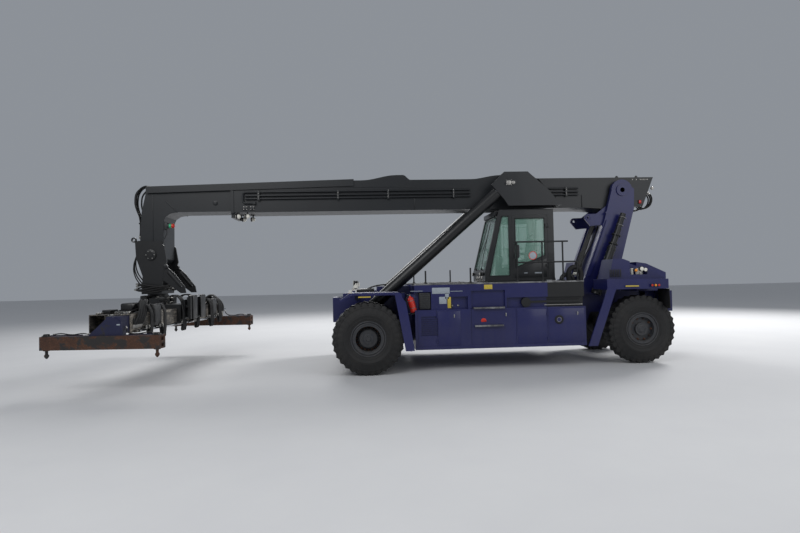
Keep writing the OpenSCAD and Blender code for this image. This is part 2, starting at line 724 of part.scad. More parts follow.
// The outer plates that hide the rods' eyes, with the webs that hold them to the boom
module boom_brackets() {
    y1 = cylinder_y + eye_w / 2 + bracket_gap;
    y2 = y1 + bracket_t;
    top_z = boom_top_z + humps[1][4];
    color("#34383a") both_sides() {
        side_slab(y1, y2) polygon([[-3107, 4400], [-3434, top_z], [-4021, top_z], [-4400, 4380], [-4860, boom_bottom_z + 20],
                                   [-3520, boom_bottom_z + 20], [-3440, 4005]]);
        block([-4020, boom_w / 2, top_z - bracket_top], [-3435, y1 + 1, top_z]);
        side_slab(boom_w / 2, y1 + 1) polygon([[-4290, 4540], [-4320, 4540], [-4855, boom_bottom_z + 25], [-4825, boom_bottom_z + 25]]);
        cross_cylinder(eye_at[0], eye_at[1], 95, y2 - 1, y2 + 22);
    }
}

pipe_r = 22;

// The pipes on the boom's side, each as its height
pipe_z = [4350, 4262, 4185];
clip_x = [2600, 650, -600, -2250, -5150];

module boom_pipe(x1, x2, z) {
    translate([axle_x + x1, boom_w / 2 + 45, z]) rotate([0, 90, 0]) cylinder(r = pipe_r, h = x2 - x1, $fn = 24);
}

module boom_pipes() {
    bend = 60;
    low_z = 4080;
    color("slategray") both_sides() {
        for (z = pipe_z) {
            boom_pipe(-2650, 2950, z);
            boom_pipe(-5440, -4660, z);
        }
        // The top pipe turns down at the front and comes back under the others
        for (z = [pipe_z[0] - bend, low_z + bend]) translate([axle_x + 2950, boom_w / 2 + 45, z]) rotate([90, 0, 0])
            rotate_extrude(angle = z > 4200 ? 90 : -90) translate([bend, 0]) circle(r = pipe_r, $fn = 24);
        translate([axle_x + 2950 + bend, boom_w / 2 + 45, low_z + bend]) cylinder(r = pipe_r, h = pipe_z[0] - low_z - 2 * bend, $fn = 24);
        boom_pipe(2700, 2950, low_z);
        for (x = clip_x) block([x, boom_w / 2, low_z + 60], [x + 50, boom_w / 2 + 75, pipe_z[0] + 35]);
        block([2700, boom_w / 2, low_z - 30], [2760, boom_w / 2 + 75, low_z + 30]);
    }
}

module boom_lamps() {
    color("#e8e2c8") both_sides() for (x = [3150, 2925]) {
        translate([axle_x + x, 350, boom_bottom_z - 90]) sphere(r = 58);
        block([x - 12, 340, boom_bottom_z - 60], [x + 12, 360, boom_bottom_z]);
    }
}

inner_boom_w = boom_w - 2 * (boom_wall + slide_gap);
inner_bottom_z = boom_bottom_z + boom_wall + slide_gap;
inner_top_z = inner_bottom_z + inner_boom_h;
head_pin = [slew_x, 2850];
inner_boom_back = -5700;

module inner_boom() {
    inside = inner_boom_w / 2 - boom_wall;
    color("#2c3032") {
        difference() {
            union() {
                block([inner_boom_back, -inner_boom_w / 2, inner_bottom_z], [4700, inner_boom_w / 2, inner_top_z]);
                side_slab(-inner_boom_w / 2 + 1, inner_boom_w / 2 - 1)
                    polygon([[slew_x + 90, inner_top_z], [4300, inner_top_z - 1], [4300, inner_bottom_z + 1], [slew_x - 650, inner_bottom_z],
                             [slew_x - 470, 3860], [slew_x - 350, 3780], [slew_x - 300, 3660], [slew_x - 290, 2750],
                             [slew_x - 200, 2650], [slew_x + 150, 2650], [slew_x + 240, 2800], [slew_x + 268, 3250],
                             [head_front - 5, 3900]]);
            }
            block([inner_boom_back - 1, -inside, inner_bottom_z + boom_wall], [4280, inside, inner_top_z - boom_wall]);
            cross_cylinder(head_pin[0], head_pin[1], pin_d / 2 + running_fit, -boom_w, boom_w);
        }
        for (y = [-300, 180]) block([inner_boom_back + 10, y, inner_top_z - 10],
                                    [inner_boom_back + pad_l, y + 120, boom_top_z - roof_t - pad_gap]);
    }
}

// The hose tray over the boom's front half, which slopes with the boom's nose
tray_back = 280;
tray_front = 5345;
tray_gap = 8;
tray_t = 12;
tray_skirt = 150;
tray_lap = 25;

function tray_z(x) = boom_top_z + tray_gap - (tray_gap + boom_top_z - inner_top_z) * (x - tray_back) / (tray_front - tray_back);

module boom_cover() {
    y1 = boom_w / 2 + tray_lap;
    y2 = y1 + 10;
    color("#2f3336") {
        side_slab(-y2, y2) polygon([[tray_back, tray_z(tray_back) + 8], [tray_front, tray_z(tray_front)],
                                    [tray_front, tray_z(tray_front) + tray_t], [tray_back, tray_z(tray_back) + tray_t + 8]]);
        both_sides() side_slab(y1, y2)
            polygon([[tray_back + 1, tray_z(tray_back) - tray_skirt], [tray_front, tray_z(tray_front) - tray_skirt],
                     [tray_front, tray_z(tray_front) + 2], [tray_back + 1, tray_z(tray_back) + 9]]);
        block([tray_front - 60, -y2 + 1, inner_top_z], [tray_front - 1, y2 - 1, inner_top_z + 5]);
    }
}

// Yoke and slew frame, hanging from the head pin

yoke_gap = 6;
yoke_plate = 45;
slew_z = 1850;
slew_ring_h = 45;

eye_lug = [5652, 3220];

module yoke() {
    y1 = inner_boom_w / 2 + yoke_gap;
    y2 = y1 + yoke_plate;
    base_z = slew_z + pad_gap + slew_ring_h;
    color("#26292b") {
        both_sides() {
            side_slab(y1, y2) difference() {
                union() {
                    polygon([[5480, base_z], [5450, 2330], [5600, 2780], [5620, 3150], [5540, 3200], [slew_x - 240, 3180],
                             [slew_x - 320, 3060], [slew_x - 380, 2690], [slew_x - 290, 2400], [slew_x - 250, base_z]]);
                    translate(eye_lug) circle(r = 62);
                    polygon([[5560, 3150], [5620, 3150], [5700, 3200], [5620, 3270]]);
                }
                translate(eye_lug) circle(r = 34);
            }
            cross_cylinder(head_pin[0], head_pin[1], 125, y2 - 1, y2 + 25);
            // The rear arm with its damper, which keeps the spreader from swaying
            side_slab(y1 + 5, y2 - 5) polygon([[slew_x - 330, 2600], [slew_x - 560, 2380], [slew_x - 800, 2060],
                                               [slew_x - 830, 1900], [slew_x - 700, 1900], [slew_x - 260, 2250]]);
            translate([axle_x + slew_x - 420, (y1 + y2) / 2, 2430]) rotate([0, -140, 0]) cylinder(r = 55, h = 470);
        }
        cross_cylinder(head_pin[0], head_pin[1], pin_d / 2, -y1 - 1, y1 + 1);
        block([slew_x - 249, -y2 + 1, base_z - 1], [slew_x + 229, y2 - 1, base_z + 80]);
        translate([axle_x + slew_x, 0, slew_z + pad_gap]) cylinder(r = 240, h = slew_ring_h);
    }
}

module spreader_place() {
    translate([axle_x + spreader_x, 0, 0]) rotate([0, 0, spreader_turn]) children();
}

arm_w = 300;
arm_h = 330;
arm_u = 260;
tube_wall = 16;
arm_gap = 8;
main_frame_l = 5300;
tube_w = arm_w + 2 * (arm_gap + tube_wall);
tube_h = arm_h + 2 * (arm_gap + tube_wall);
tube_z = end_beam_z + 20;
tube_top_z = tube_z + tube_h;
shift_clearance = 6;
shoe_half_l = 500;
shoe_w = 100;

slew_u = (slew_x - spreader_x) * cos(spreader_turn);
slew_v = -(slew_x - spreader_x) * sin(spreader_turn);
motor_r = 95;

module slew_frame() {
    plate_z = tube_top_z + pad_gap;
    plate_t = 100;
    shoe_u = arm_u + tube_w / 2 + shift_clearance;
    top = plate_z + plate_t - 1;
    color("#26292b") spreader_place() {
        translate([slew_u, slew_v, top]) cylinder(r = 270, h = slew_z - top);
        translate([-shoe_u - shoe_w, -shoe_half_l, plate_z]) cube([2 * (shoe_u + shoe_w), 2 * shoe_half_l, plate_t]);
        for (u = [-shoe_u - shoe_w, shoe_u]) for (v = [-shoe_half_l, shoe_half_l - 200])
            translate([u, v, tube_z + 60]) cube([shoe_w, 200, plate_z - tube_z - 60 + 1]);
        // Slewing motors, valve blocks and the two upright hose guards behind them
        for (v = [-350, 350]) {
            translate([slew_u + 170, slew_v + v, top]) cylinder(r = motor_r, h = slew_z - 20 - top);
            translate([slew_u - 250, v - 130, top]) cube([260, 260, slew_z - 60 - top]);
            translate([-shoe_u - 330, v - 120, tube_z + 120]) cube([60, 240, 560]);
            translate([-shoe_u - 180, v - 100, tube_z + 120]) cube([70, 200, 470]);
            translate([-shoe_u - 331, v - 60, plate_z + 20]) cube([260, 120, 60]);
        }
    }
}

module spreader_frame() {
    color("#4a4a48") spreader_place() {
        difference() {
            union() {
                for (u = [-arm_u, arm_u]) translate([u - tube_w / 2, -main_frame_l / 2, tube_z]) cube([tube_w, main_frame_l, tube_h]);
                translate([-arm_u, -600, tube_z + 10]) cube([2 * arm_u, 1200, tube_h - 20]);
                for (v = [-2500, -1450, 1250, 2300]) translate([-arm_u - tube_w / 2 - 20, v, tube_z - 15])
                    cube([2 * arm_u + tube_w + 40, 90, 60]);
            }
            for (u = [-arm_u, arm_u]) translate([u - arm_w / 2 - arm_gap, -main_frame_l, tube_z + tube_wall])
                cube([arm_w + 2 * arm_gap, 2 * main_frame_l, arm_h + 2 * arm_gap]);
        }
        for (u = [-arm_u, arm_u]) for (v = [-main_frame_l / 2, main_frame_l / 2 - pad_l])
            translate([u - 120, v, tube_z + tube_wall - 1]) cube([240, pad_l, arm_gap - pad_gap + 1]);
        // Cylinder pipes beside the tubes, on brackets
        for (side = [-1, 1]) translate([side * (arm_u + tube_w / 2 + 32), -main_frame_l / 2 + 150, tube_z + 20]) {
            rotate([-90, 0, 0]) cylinder(r = 24, h = main_frame_l - 300);
            for (v = [0, 1200, main_frame_l - 1560, main_frame_l - 360]) translate([side > 0 ? -36 : -10, v, -30]) cube([46, 60, 60]);
        }
    }
}

lock_inset = 90;
arm_inner_l = 2000;

module lock_places() {
    for (u = [-1, 1]) translate([u * (container_w / 2 - lock_inset), container_l / 2 - lock_inset, 0]) children();
}

module spreader_arm(side) {
    arm_z = tube_z + tube_wall + arm_gap;
    end_v = container_l / 2;
    low_z = end_beam_z - end_beam_h;
    color("saddlebrown") spreader_place() rotate([0, 0, side > 0 ? 0 : 180]) difference() {
        union() {
            translate([-arm_u - arm_w / 2, -arm_inner_l, arm_z]) cube([arm_w, end_v + arm_inner_l - 60, arm_h]);
            translate([-container_w / 2, end_v - end_beam_w, low_z]) cube([container_w, end_beam_w, end_beam_h]);
            translate([0, end_v - 50, 0]) rotate([90, 0, 0]) linear_extrude(40)
                polygon([[-arm_u - 190, end_beam_z - 2], [-arm_u - 160, end_beam_z + 250], [-arm_u, end_beam_z + 375],
                         [-arm_u + 100, end_beam_z + 375], [arm_u, end_beam_z - 2]]);
            translate([-arm_u - arm_w / 2 + 1, end_v - 260, end_beam_z - 2]) cube([arm_w - 2, 201, arm_z - end_beam_z + 4]);
        }
        lock_places() cylinder(r = twistlock_d / 2 + pin_clearance, h = end_beam_z - 60);
        // The two pockets in each end of the beam
        for (u = [-container_w / 2 - 1, container_w / 2 - 39]) for (z = [low_z + 35, low_z + 160])
            translate([u, end_v - end_beam_w + 70, z]) cube([40, 110, 70]);
    }
}

lock_shank_l = 110;
lock_seat = 2;

module twistlocks(side) {
    low_z = end_beam_z - end_beam_h;
    shank_z = low_z - lock_seat - lock_shank_l;
    color("#5a5147") spreader_place() rotate([0, 0, side > 0 ? 0 : 180]) lock_places() {
        translate([0, 0, shank_z]) cylinder(r = twistlock_d / 2, h = lock_shank_l + end_beam_h - 60 + lock_seat);
        translate([0, 0, shank_z - 60]) cylinder(r1 = 12, r2 = twistlock_d / 2 - 1, h = 61);
    }
}

// Lift cylinders, drawn along their own axis from the foot pin

rest_l = norm(eye_at - cylinder_foot);
rest_lean = atan2(eye_at[1] - cylinder_foot[1], eye_at[0] - cylinder_foot[0]);

module along_cylinder(side) {
    translate([axle_x + cylinder_foot[0], side * cylinder_y, cylinder_foot[1]]) rotate([0, -rest_lean, 0]) children();
}

barrel_l = rest_l - 420;

module barrel(side) {
    color("#1f2224") along_cylinder(side) difference() {
        union() {
            rotate([90, 0, 0]) translate([0, 0, -eye_w / 2]) cylinder(r = 165, h = eye_w);
            translate([120, 0, 0]) rotate([0, 90, 0]) cylinder(r = barrel_d / 2, h = barrel_l - 120);
        }
        rotate([90, 0, 0]) translate([0, 0, -eye_w]) cylinder(r = pin_d / 2 + running_fit, h = 2 * eye_w);
        translate([400, 0, 0]) rotate([0, 90, 0]) cylinder(r = rod_d / 2 + 20, h = barrel_l - 600);
        translate([400, 0, 0]) rotate([0, 90, 0]) cylinder(r = rod_d / 2 + running_fit, h = barrel_l);
    }
}

module rod(side) {
    color("silver") along_cylinder(side) {
        translate([rest_l, 0, 0]) rotate([90, 0, 0]) translate([0, 0, -eye_w / 2]) cylinder(r = eye_r, h = eye_w);
        translate([650, 0, 0]) rotate([0, 90, 0]) cylinder(r = rod_d / 2, h = rest_l - 650);
    }
}

frame();
counterweight();
boom_tower();
tower_ties();
engine_block();
drive_axle();
steer_axle();
fenders();
side_boxes();
lockers();
engine_covers();
deck();
handrails();
exhaust();
cab_shell();
cab_glass();
operator_seat();
cab_console();
door(1);  // door_left
door_glass(1);  // door_left_glass
door(-1);  // door_right
door_glass(-1);  // door_right_glass
lamps();
outer_boom();
boom_brackets();
boom_pipes();
boom_lamps();
inner_boom();
boom_cover();
yoke();
slew_frame();
spreader_frame();
spreader_arm(1);  // spreader_arm_left
spreader_arm(-1);  // spreader_arm_right
twistlocks(1);  // twistlocks_left
twistlocks(-1);  // twistlocks_right
barrel(1);  // barrel_left
barrel(-1);  // barrel_right
rod(1);  // rod_left
rod(-1);  // rod_right
drive_tyres(1);  // drive_tyres_left
drive_rims(1);  // drive_rims_left
drive_tyres(-1);  // drive_tyres_right
drive_rims(-1);  // drive_rims_right
knuckle(1);  // knuckle_left
knuckle(-1);  // knuckle_right
steer_tyre(1);  // steer_tyre_left
steer_rim(1);  // steer_rim_left
steer_tyre(-1);  // steer_tyre_right
steer_rim(-1);  // steer_rim_right
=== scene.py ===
# %% [markdown]
# A reach stacker lifts freight containers with a telescopic boom that runs over its cab.
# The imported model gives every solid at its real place, in metres: +X is forward, +Y the
# machine's left, +Z up. This script dresses it: finishes first, then the pieces that a
# solid leaves plain, one cell each, from the wheels to the spreader.

# %% Load the machine
import math

import bpy
from mathutils import Matrix, Vector


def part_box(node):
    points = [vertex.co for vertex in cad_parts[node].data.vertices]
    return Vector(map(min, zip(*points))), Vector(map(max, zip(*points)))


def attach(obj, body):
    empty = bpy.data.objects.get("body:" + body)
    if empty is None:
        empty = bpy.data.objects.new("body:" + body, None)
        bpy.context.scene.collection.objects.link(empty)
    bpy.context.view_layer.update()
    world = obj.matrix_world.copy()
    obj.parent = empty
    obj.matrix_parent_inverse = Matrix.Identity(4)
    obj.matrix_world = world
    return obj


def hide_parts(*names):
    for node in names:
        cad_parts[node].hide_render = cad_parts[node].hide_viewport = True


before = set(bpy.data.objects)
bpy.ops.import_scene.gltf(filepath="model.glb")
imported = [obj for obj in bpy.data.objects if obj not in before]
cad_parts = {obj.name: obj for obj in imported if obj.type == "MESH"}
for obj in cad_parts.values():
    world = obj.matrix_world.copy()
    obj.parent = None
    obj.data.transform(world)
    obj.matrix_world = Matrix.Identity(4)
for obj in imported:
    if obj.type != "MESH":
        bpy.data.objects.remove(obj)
bpy.ops.object.select_all(action="DESELECT")
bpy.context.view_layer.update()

# %% Places that many pieces share
tyre_low, tyre_high = (Vector(corner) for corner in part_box("steer_tyre_left"))
wheel_r = (tyre_high.z - tyre_low.z) / 2
steer_x = (tyre_low.x + tyre_high.x) / 2
drive_low, drive_high = (Vector(corner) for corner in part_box("drive_tyres_left"))
drive_x = (drive_low.x + drive_high.x) / 2
print("drive axle at x =", round(drive_x, 3), "steer axle at x =", round(steer_x, 3))

# %% [markdown]
# The photograph was taken from the machine's left, level with its deck, with a wide lens.
# The camera's place and angles come from known sizes in the picture: the wheelbase, the
# tyres and the container spreader. The camera looks along -Y, turned a little to the rear.

# %% Camera
camera_place = Vector((drive_x + 0.05, 14.5, 2.12))
camera_yaw, camera_pitch, camera_roll = (math.radians(a) for a in (-3.6, 1.30, -1.28))
lens_mm = 25.3

look = Vector((math.sin(camera_yaw) * math.cos(camera_pitch),
               -math.cos(camera_yaw) * math.cos(camera_pitch), math.sin(camera_pitch)))
right = look.cross(Vector((0, 0, 1))).normalized()
up = right.cross(look)
rolled_right = right * math.cos(camera_roll) + up * math.sin(camera_roll)
rolled_up = up * math.cos(camera_roll) - right * math.sin(camera_roll)
turn = Matrix((rolled_right, rolled_up, -look)).transposed().to_4x4()
bpy.ops.object.camera_add()
camera = bpy.context.object
camera.data.lens = lens_mm
camera.data.clip_end = 200
camera.matrix_world = Matrix.Translation(camera_place) @ turn
bpy.context.scene.camera = camera
print("camera at", [round(v, 2) for v in camera_place])

# %% [markdown]
# A pale floor and four big soft lamps show every side. The sun in the photograph stands
# behind the machine, so the two lamps over its far side are the stronger ones, but the near
# side gets enough light to show its paint.

# %% Floor, lamps and world
def area_lamp(name, place, size, watts):
    bpy.ops.object.light_add(type="AREA", location=place)
    lamp = bpy.context.object
    lamp.name = name
    lamp.data.size = size
    lamp.data.energy = watts
    lamp.rotation_euler = (Vector((0, 0, 1.5)) - Vector(place)).to_track_quat("-Z", "Y").to_euler()
    return lamp


bpy.ops.mesh.primitive_plane_add(size=160, location=(0, 0, 0))
floor = bpy.context.object
floor.name = "floor"
area_lamp("key", (7, 14, 12), 9, 950)
area_lamp("fill", (-11, 12, 8), 10, 420)
area_lamp("sun_side", (-18, -11, 13), 8, 3300)
area_lamp("back", (4, -15, 14), 10, 1900)

world = bpy.data.worlds.new("studio")
bpy.context.scene.world = world
world.use_nodes = True
world.node_tree.nodes["Background"].inputs["Color"].default_value = (0.80, 0.86, 0.95, 1)
world.node_tree.nodes["Background"].inputs["Strength"].default_value = 0.33
bpy.context.scene.view_settings.view_transform = "Standard"

# %% [markdown]
# Every finish is built from nodes. Written one by one they take pages, so a small class
# wraps a socket: arithmetic on it adds the Math nodes, and `node` adds any other kind.
# A pattern reads Object coordinates, which are metres here, so scales are real sizes.

# %% Shader arithmetic
class Value:
    """One output inside a finish. Arithmetic on it adds Math nodes."""

    def __init__(self, finish, socket):
        self.finish = finish
        self.socket = socket

    def math(self, operation, *others):
        values = dict(enumerate((self,) + others))
        return self.finish.node("ShaderNodeMath", {"operation": operation}, values)

    def __add__(self, other): return self.math("ADD", other)
    def __radd__(self, other): return self.math("ADD", other)
    def __mul__(self, other): return self.math("MULTIPLY", other)
    def __rmul__(self, other): return self.math("MULTIPLY", other)
    def __sub__(self, other): return self.math("SUBTRACT", other)
    def __neg__(self): return self.math("MULTIPLY", -1.0)
    def __rsub__(self, other): return (-self) + other
    def step(self, low, high):
        """0 below low, 1 above high, smooth between."""
        return self.finish.node("ShaderNodeMapRange", {"interpolation_type": "SMOOTHSTEP"},
                                {"Value": self, "From Min": low, "From Max": high})


class Finish:
    """A material whose nodes are added by name, settings and input values."""

    def __init__(self, name, color=(0.5, 0.5, 0.5), roughness=0.5, metallic=0.0, coat=0.0):
        self.material = bpy.data.materials.new(name)
        self.material.use_nodes = True
        self.tree = self.material.node_tree
        self.shader = self.tree.nodes["Principled BSDF"]
        self.material.diffuse_color = (*color, 1)
        self.put("Base Color", (*color, 1))
        self.put("Roughness", roughness)
        self.put("Metallic", metallic)
        self.put("Coat Weight", coat)
        self.place = self.node("ShaderNodeTexCoord", out="Object")
        self.height = None

    def node(self, kind, settings=None, values=None, out=0):
        made = self.tree.nodes.new(kind)
        for name, setting in (settings or {}).items():
            if name == "stops":
                ramp = made.color_ramp
                while len(ramp.elements) < len(setting):
                    ramp.elements.new(1.0)
                for element, (position, color) in zip(ramp.elements, setting):
                    element.position = position
                    element.color = (*color, 1)
            else:
                setattr(made, name, setting)
        for name, value in (values or {}).items():
            self.join(value, made.inputs[name])
        return Value(self, made.outputs[out])

    def join(self, value, socket):
        if isinstance(value, Value):
            self.tree.links.new(value.socket, socket)
        else:
            socket.default_value = value

    def put(self, name, value):
        self.join(value, self.shader.inputs[name])

    def noise(self, scale, detail=4, roughness=0.6, stretch=None):
        where = self.place
        if stretch:
            where = self.node("ShaderNodeMapping", None, {"Vector": self.place, "Scale": stretch})
        return self.node("ShaderNodeTexNoise", None, {"Vector": where, "Scale": scale, "Detail": detail,
                                                      "Roughness": roughness})

    def axis(self, letter):
        return self.node("ShaderNodeSeparateXYZ", None, {0: self.place}, out=letter)

    def facing(self, letter="Z"):
        normal = self.node("ShaderNodeNewGeometry", out="Normal")
        return self.node("ShaderNodeSeparateXYZ", None, {0: normal}, out=letter)

    def mix(self, amount, first, second):
        """A colour between two, by a mask."""
        as_color = lambda c: (*c, 1) if isinstance(c, tuple) and len(c) == 3 else c
        return self.node("ShaderNodeMix", {"data_type": "RGBA"},
                         {0: amount, 6: as_color(first), 7: as_color(second)}, out=2)

    def bump(self, height, distance, strength=1.0):
        values = {"Height": height, "Distance": distance, "Strength": strength}
        if self.height:
            values["Normal"] = self.height
        self.height = self.node("ShaderNodeBump", None, values, out="Normal")
        self.put("Normal", self.height)
        return self


# %% [markdown]
# The paint is a deep blue that looks nearly black in shade. Up close it has a faint orange
# peel, dust lies on what faces up and near the ground, and the gloss is broken by grime.

# %% Painted steel
DUST = (0.13, 0.115, 0.098)


def paint(name, color, roughness, dust=0.5, coat=0.2, chips=None):
    finish = Finish(name, color, roughness, coat=coat)
    cloud = finish.noise(0.9, 6)
    grain = finish.noise(14, 5, 0.7)
    streaks = finish.noise(2.2, 5, 0.6, stretch=(6, 6, 0.35))
    shade = finish.mix(cloud.step(0.35, 0.7) * 0.5, tuple(c * 0.82 for c in color), tuple(c * 1.22 for c in color))
    up = finish.facing().step(0.35, 0.95)
    low = 1 - finish.axis("Z").step(0.35, 1.9)
    film = (up * 0.55 + low * 0.42 + 0.06) * (grain * 0.7 + streaks * 0.75).step(0.42, 0.95) * dust
    shade = finish.mix(film, shade, DUST)
    if chips:
        worn = (finish.noise(9, 8, 0.72) * 0.6 + cloud * 0.4).step(0.575, 0.62) * chips[1]
        shade = finish.mix(worn, shade, chips[0])
        finish.bump(1 - worn, 0.0015)
    finish.put("Base Color", shade)
    finish.put("Roughness", film * 0.45 + grain * 0.12 + (roughness - 0.06))
    finish.bump(finish.noise(260, 2), 0.0004, 0.25)
    return finish.material


body_blue = paint("body_blue", (0.0095, 0.0125, 0.098), 0.34, dust=0.18, coat=0.1)
boom_charcoal = paint("boom_charcoal", (0.0075, 0.0095, 0.012), 0.40, dust=0.12, coat=0.05)
black_paint = paint("black_paint", (0.005, 0.0055, 0.0065), 0.40, dust=0.14, coat=0.05)
rim_paint = paint("rim_paint", (0.020, 0.024, 0.032), 0.48, dust=0.55, coat=0.0)
cab_black = paint("cab_black", (0.008, 0.0095, 0.0115), 0.36, dust=0.16, coat=0.1)
engine_grey = paint("engine_grey", (0.07, 0.07, 0.07), 0.6, dust=1.0, coat=0.0)
axle_black = paint("axle_black", (0.03, 0.03, 0.032), 0.55, dust=1.1, coat=0.0)

# %% [markdown]
# Steel that scrapes along containers all day loses its paint: brown rust with islands of old
# paint on the end beams, and grey dusty mill scale on the spreader's long tubes, whose pale tan
# patches are partly dust and wear, partly painted sunlight.

# %% Worn steel, chrome and tread plate
def rusty_steel():
    finish = Finish("rusty_steel", (0.16, 0.07, 0.04), 0.8)
    patches = finish.noise(2.6, 8, 0.68)
    fine = finish.noise(38, 6, 0.7)
    rust = finish.node("ShaderNodeValToRGB", {"stops": [(0.30, (0.020, 0.013, 0.011)), (0.5, (0.075, 0.034, 0.020)),
                                                        (0.72, (0.26, 0.115, 0.055))]}, {0: fine * 0.45 + patches * 0.55})
    paint_left = patches.step(0.50, 0.56)
    worn = finish.mix(paint_left, rust, (0.022, 0.019, 0.018))
    above = finish.axis("Z").step(1.126, 1.134) * (0.62 - patches).step(-0.02, 0.06)
    finish.put("Base Color", finish.mix(above, worn, (0.008, 0.010, 0.045)))
    finish.put("Roughness", 0.88 - paint_left * 0.2 - above * 0.3)
    return finish.bump(fine, 0.002, 0.5).bump(patches, 0.004, 0.4).material


def dusty_sunlit_steel():
    finish = Finish("dusty_sunlit_steel", (0.20, 0.185, 0.165), 0.7)
    patches = finish.noise(1.8, 8, 0.66)
    scratches = finish.noise(5, 6, 0.7, stretch=(9, 0.5, 9))
    # Dark mill scale and a pale tan tone. The pale tan is partly dusty worn steel, partly painted sunlight.
    worn = (patches * 0.55 + scratches * 0.45).step(0.46, 0.58)
    finish.put("Base Color", finish.mix(worn, (0.060, 0.056, 0.052), (0.34, 0.30, 0.25)))
    finish.put("Roughness", worn * 0.2 + 0.5)
    return finish.bump(scratches, 0.001, 0.4).material


def chrome():
    finish = Finish("rod_chrome", (0.62, 0.63, 0.65), 0.12, metallic=1.0)
    finish.put("Roughness", finish.noise(30, 4).step(0.3, 0.8) * 0.12 + 0.08)
    return finish.material


def tread_plate():
    finish = Finish("tread_plate", (0.30, 0.30, 0.31), 0.42, metallic=0.7)
    wave = lambda angle: finish.node("ShaderNodeTexWave", {"bands_direction": "X"}, {
        "Vector": finish.node("ShaderNodeMapping", None, {"Vector": finish.place, "Rotation": (0, 0, angle)}),
        "Scale": 9.0, "Distortion": 0.0})
    ribs = wave(0.785).step(0.72, 0.9) * wave(-0.785).step(0.35, 0.5)
    grime = finish.noise(3.5, 6)
    finish.put("Base Color", finish.mix(grime.step(0.35, 0.7), (0.10, 0.10, 0.105), (0.33, 0.33, 0.33)))
    finish.put("Roughness", 0.65 - ribs * 0.25)
    return finish.bump(ribs, 0.003, 0.7).material


rusty = rusty_steel()
dusty = dusty_sunlit_steel()
rod_chrome = chrome()
deck_plate = tread_plate()

# %% [markdown]
# Rubber is almost black with a brown bloom of dust, and a tyre's dust lies on its lugs and
# round the sidewall. The rings moulded on the sidewall are real geometry, added later.

# %% Rubber, glass, plastics and cloth
def rubber(name, color, dusty=0.6, fine=60):
    finish = Finish(name, color, 0.75)
    cloud = finish.noise(3.0, 6)
    grit = finish.noise(fine, 4, 0.7)
    film = (cloud * 0.6 + grit * 0.5).step(0.45, 0.85) * dusty
    finish.put("Base Color", finish.mix(film, color, (0.075, 0.066, 0.056)))
    finish.put("Roughness", film * 0.2 + 0.66)
    return finish.bump(grit, 0.0012, 0.35).material


def glass():
    finish = Finish("cab_glass_green", (0.32, 0.55, 0.46), 0.06)
    finish.put("Base Color", finish.mix(finish.noise(2.0, 3), (0.26, 0.50, 0.40), (0.36, 0.60, 0.50)))
    finish.put("Alpha", 0.34)
    finish.put("Coat Weight", 0.6)
    return finish.material


def moulded(name, color, roughness=0.5, grain=240):
    finish = Finish(name, color, roughness)
    cells = finish.node("ShaderNodeTexVoronoi", None, {"Vector": finish.place, "Scale": grain})
    finish.put("Base Color", finish.mix(finish.noise(4, 4), tuple(c * 0.85 for c in color), tuple(c * 1.15 for c in color)))
    return finish.bump(cells, 0.0004, 0.5).material


def seat_cloth():
    finish = Finish("seat_cloth", (0.035, 0.036, 0.042), 0.9)
    weave = finish.node("ShaderNodeTexWave", {"bands_direction": "X"}, {"Vector": finish.place, "Scale": 160.0})
    weft = finish.node("ShaderNodeTexWave", {"bands_direction": "Z"}, {"Vector": finish.place, "Scale": 160.0})
    finish.put("Base Color", finish.mix(weave * weft, (0.022, 0.023, 0.027), (0.060, 0.062, 0.072)))
    return finish.bump(weave * 0.5 + weft * 0.5, 0.0008, 0.6).material


tyre_rubber = rubber("tyre_rubber", (0.008, 0.008, 0.0085), 0.26)
hose_rubber = rubber("hose_rubber", (0.006, 0.006, 0.0068), 0.12, fine=200)
cab_glass_green = glass()
black_plastic = moulded("black_plastic", (0.020, 0.021, 0.023))
seat_fabric = seat_cloth()
amber = moulded("amber_lens", (0.85, 0.30, 0.02), 0.2, grain=90)
red_lens = moulded("red_lens", (0.50, 0.015, 0.01), 0.2, grain=90)
lamp_glass = moulded("lamp_lens", (0.80, 0.78, 0.70), 0.12, grain=70)

# %% [markdown]
# Each solid of the frame whose shape is right stays and only gets its finish. The table
# names the finish of every node.

# %% Finishes of the nodes
node_finish = {
    body_blue: ["frame", "counterweight", "boom_tower", "tower_ties", "fenders", "side_boxes", "lockers"],
    black_paint: ["engine_covers", "handrails", "exhaust", "yoke", "slew_frame", "barrel_left", "barrel_right"],
    cab_black: ["cab_shell", "door_left", "door_right"],
    boom_charcoal: ["outer_boom", "boom_brackets", "inner_boom", "boom_cover", "boom_pipes"],
    axle_black: ["drive_axle", "steer_axle", "knuckle_left", "knuckle_right"],
    engine_grey: ["engine_block"],
    rim_paint: ["drive_rims_left", "drive_rims_right", "steer_rim_left", "steer_rim_right"],
    tyre_rubber: ["drive_tyres_left", "drive_tyres_right", "steer_tyre_left", "steer_tyre_right"],
    cab_glass_green: ["cab_glass", "door_left_glass", "door_right_glass"],
    deck_plate: ["deck"],
    seat_fabric: ["operator_seat"],
    black_plastic: ["cab_console"],
    lamp_glass: ["lamps", "boom_lamps"],
    rusty: ["spreader_arm_left", "spreader_arm_right", "twistlocks_left", "twistlocks_right"],
    dusty: ["spreader_frame"],
    rod_chrome: ["rod_left", "rod_right"],
}
for material, names in node_finish.items():
    for name in names:
        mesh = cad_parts[name].data
        mesh.materials.clear()
        mesh.materials.append(material)
print(sum(len(names) for names in node_finish.values()), "nodes have a finish")


def floor_finish():
    finish = Finish("studio_floor", (0.62, 0.62, 0.62), 0.9)
    finish.put("Base Color", finish.mix(finish.noise(0.8, 5), (0.60, 0.60, 0.61), (0.66, 0.66, 0.66)))
    return finish.material


floor.data.materials.append(floor_finish())
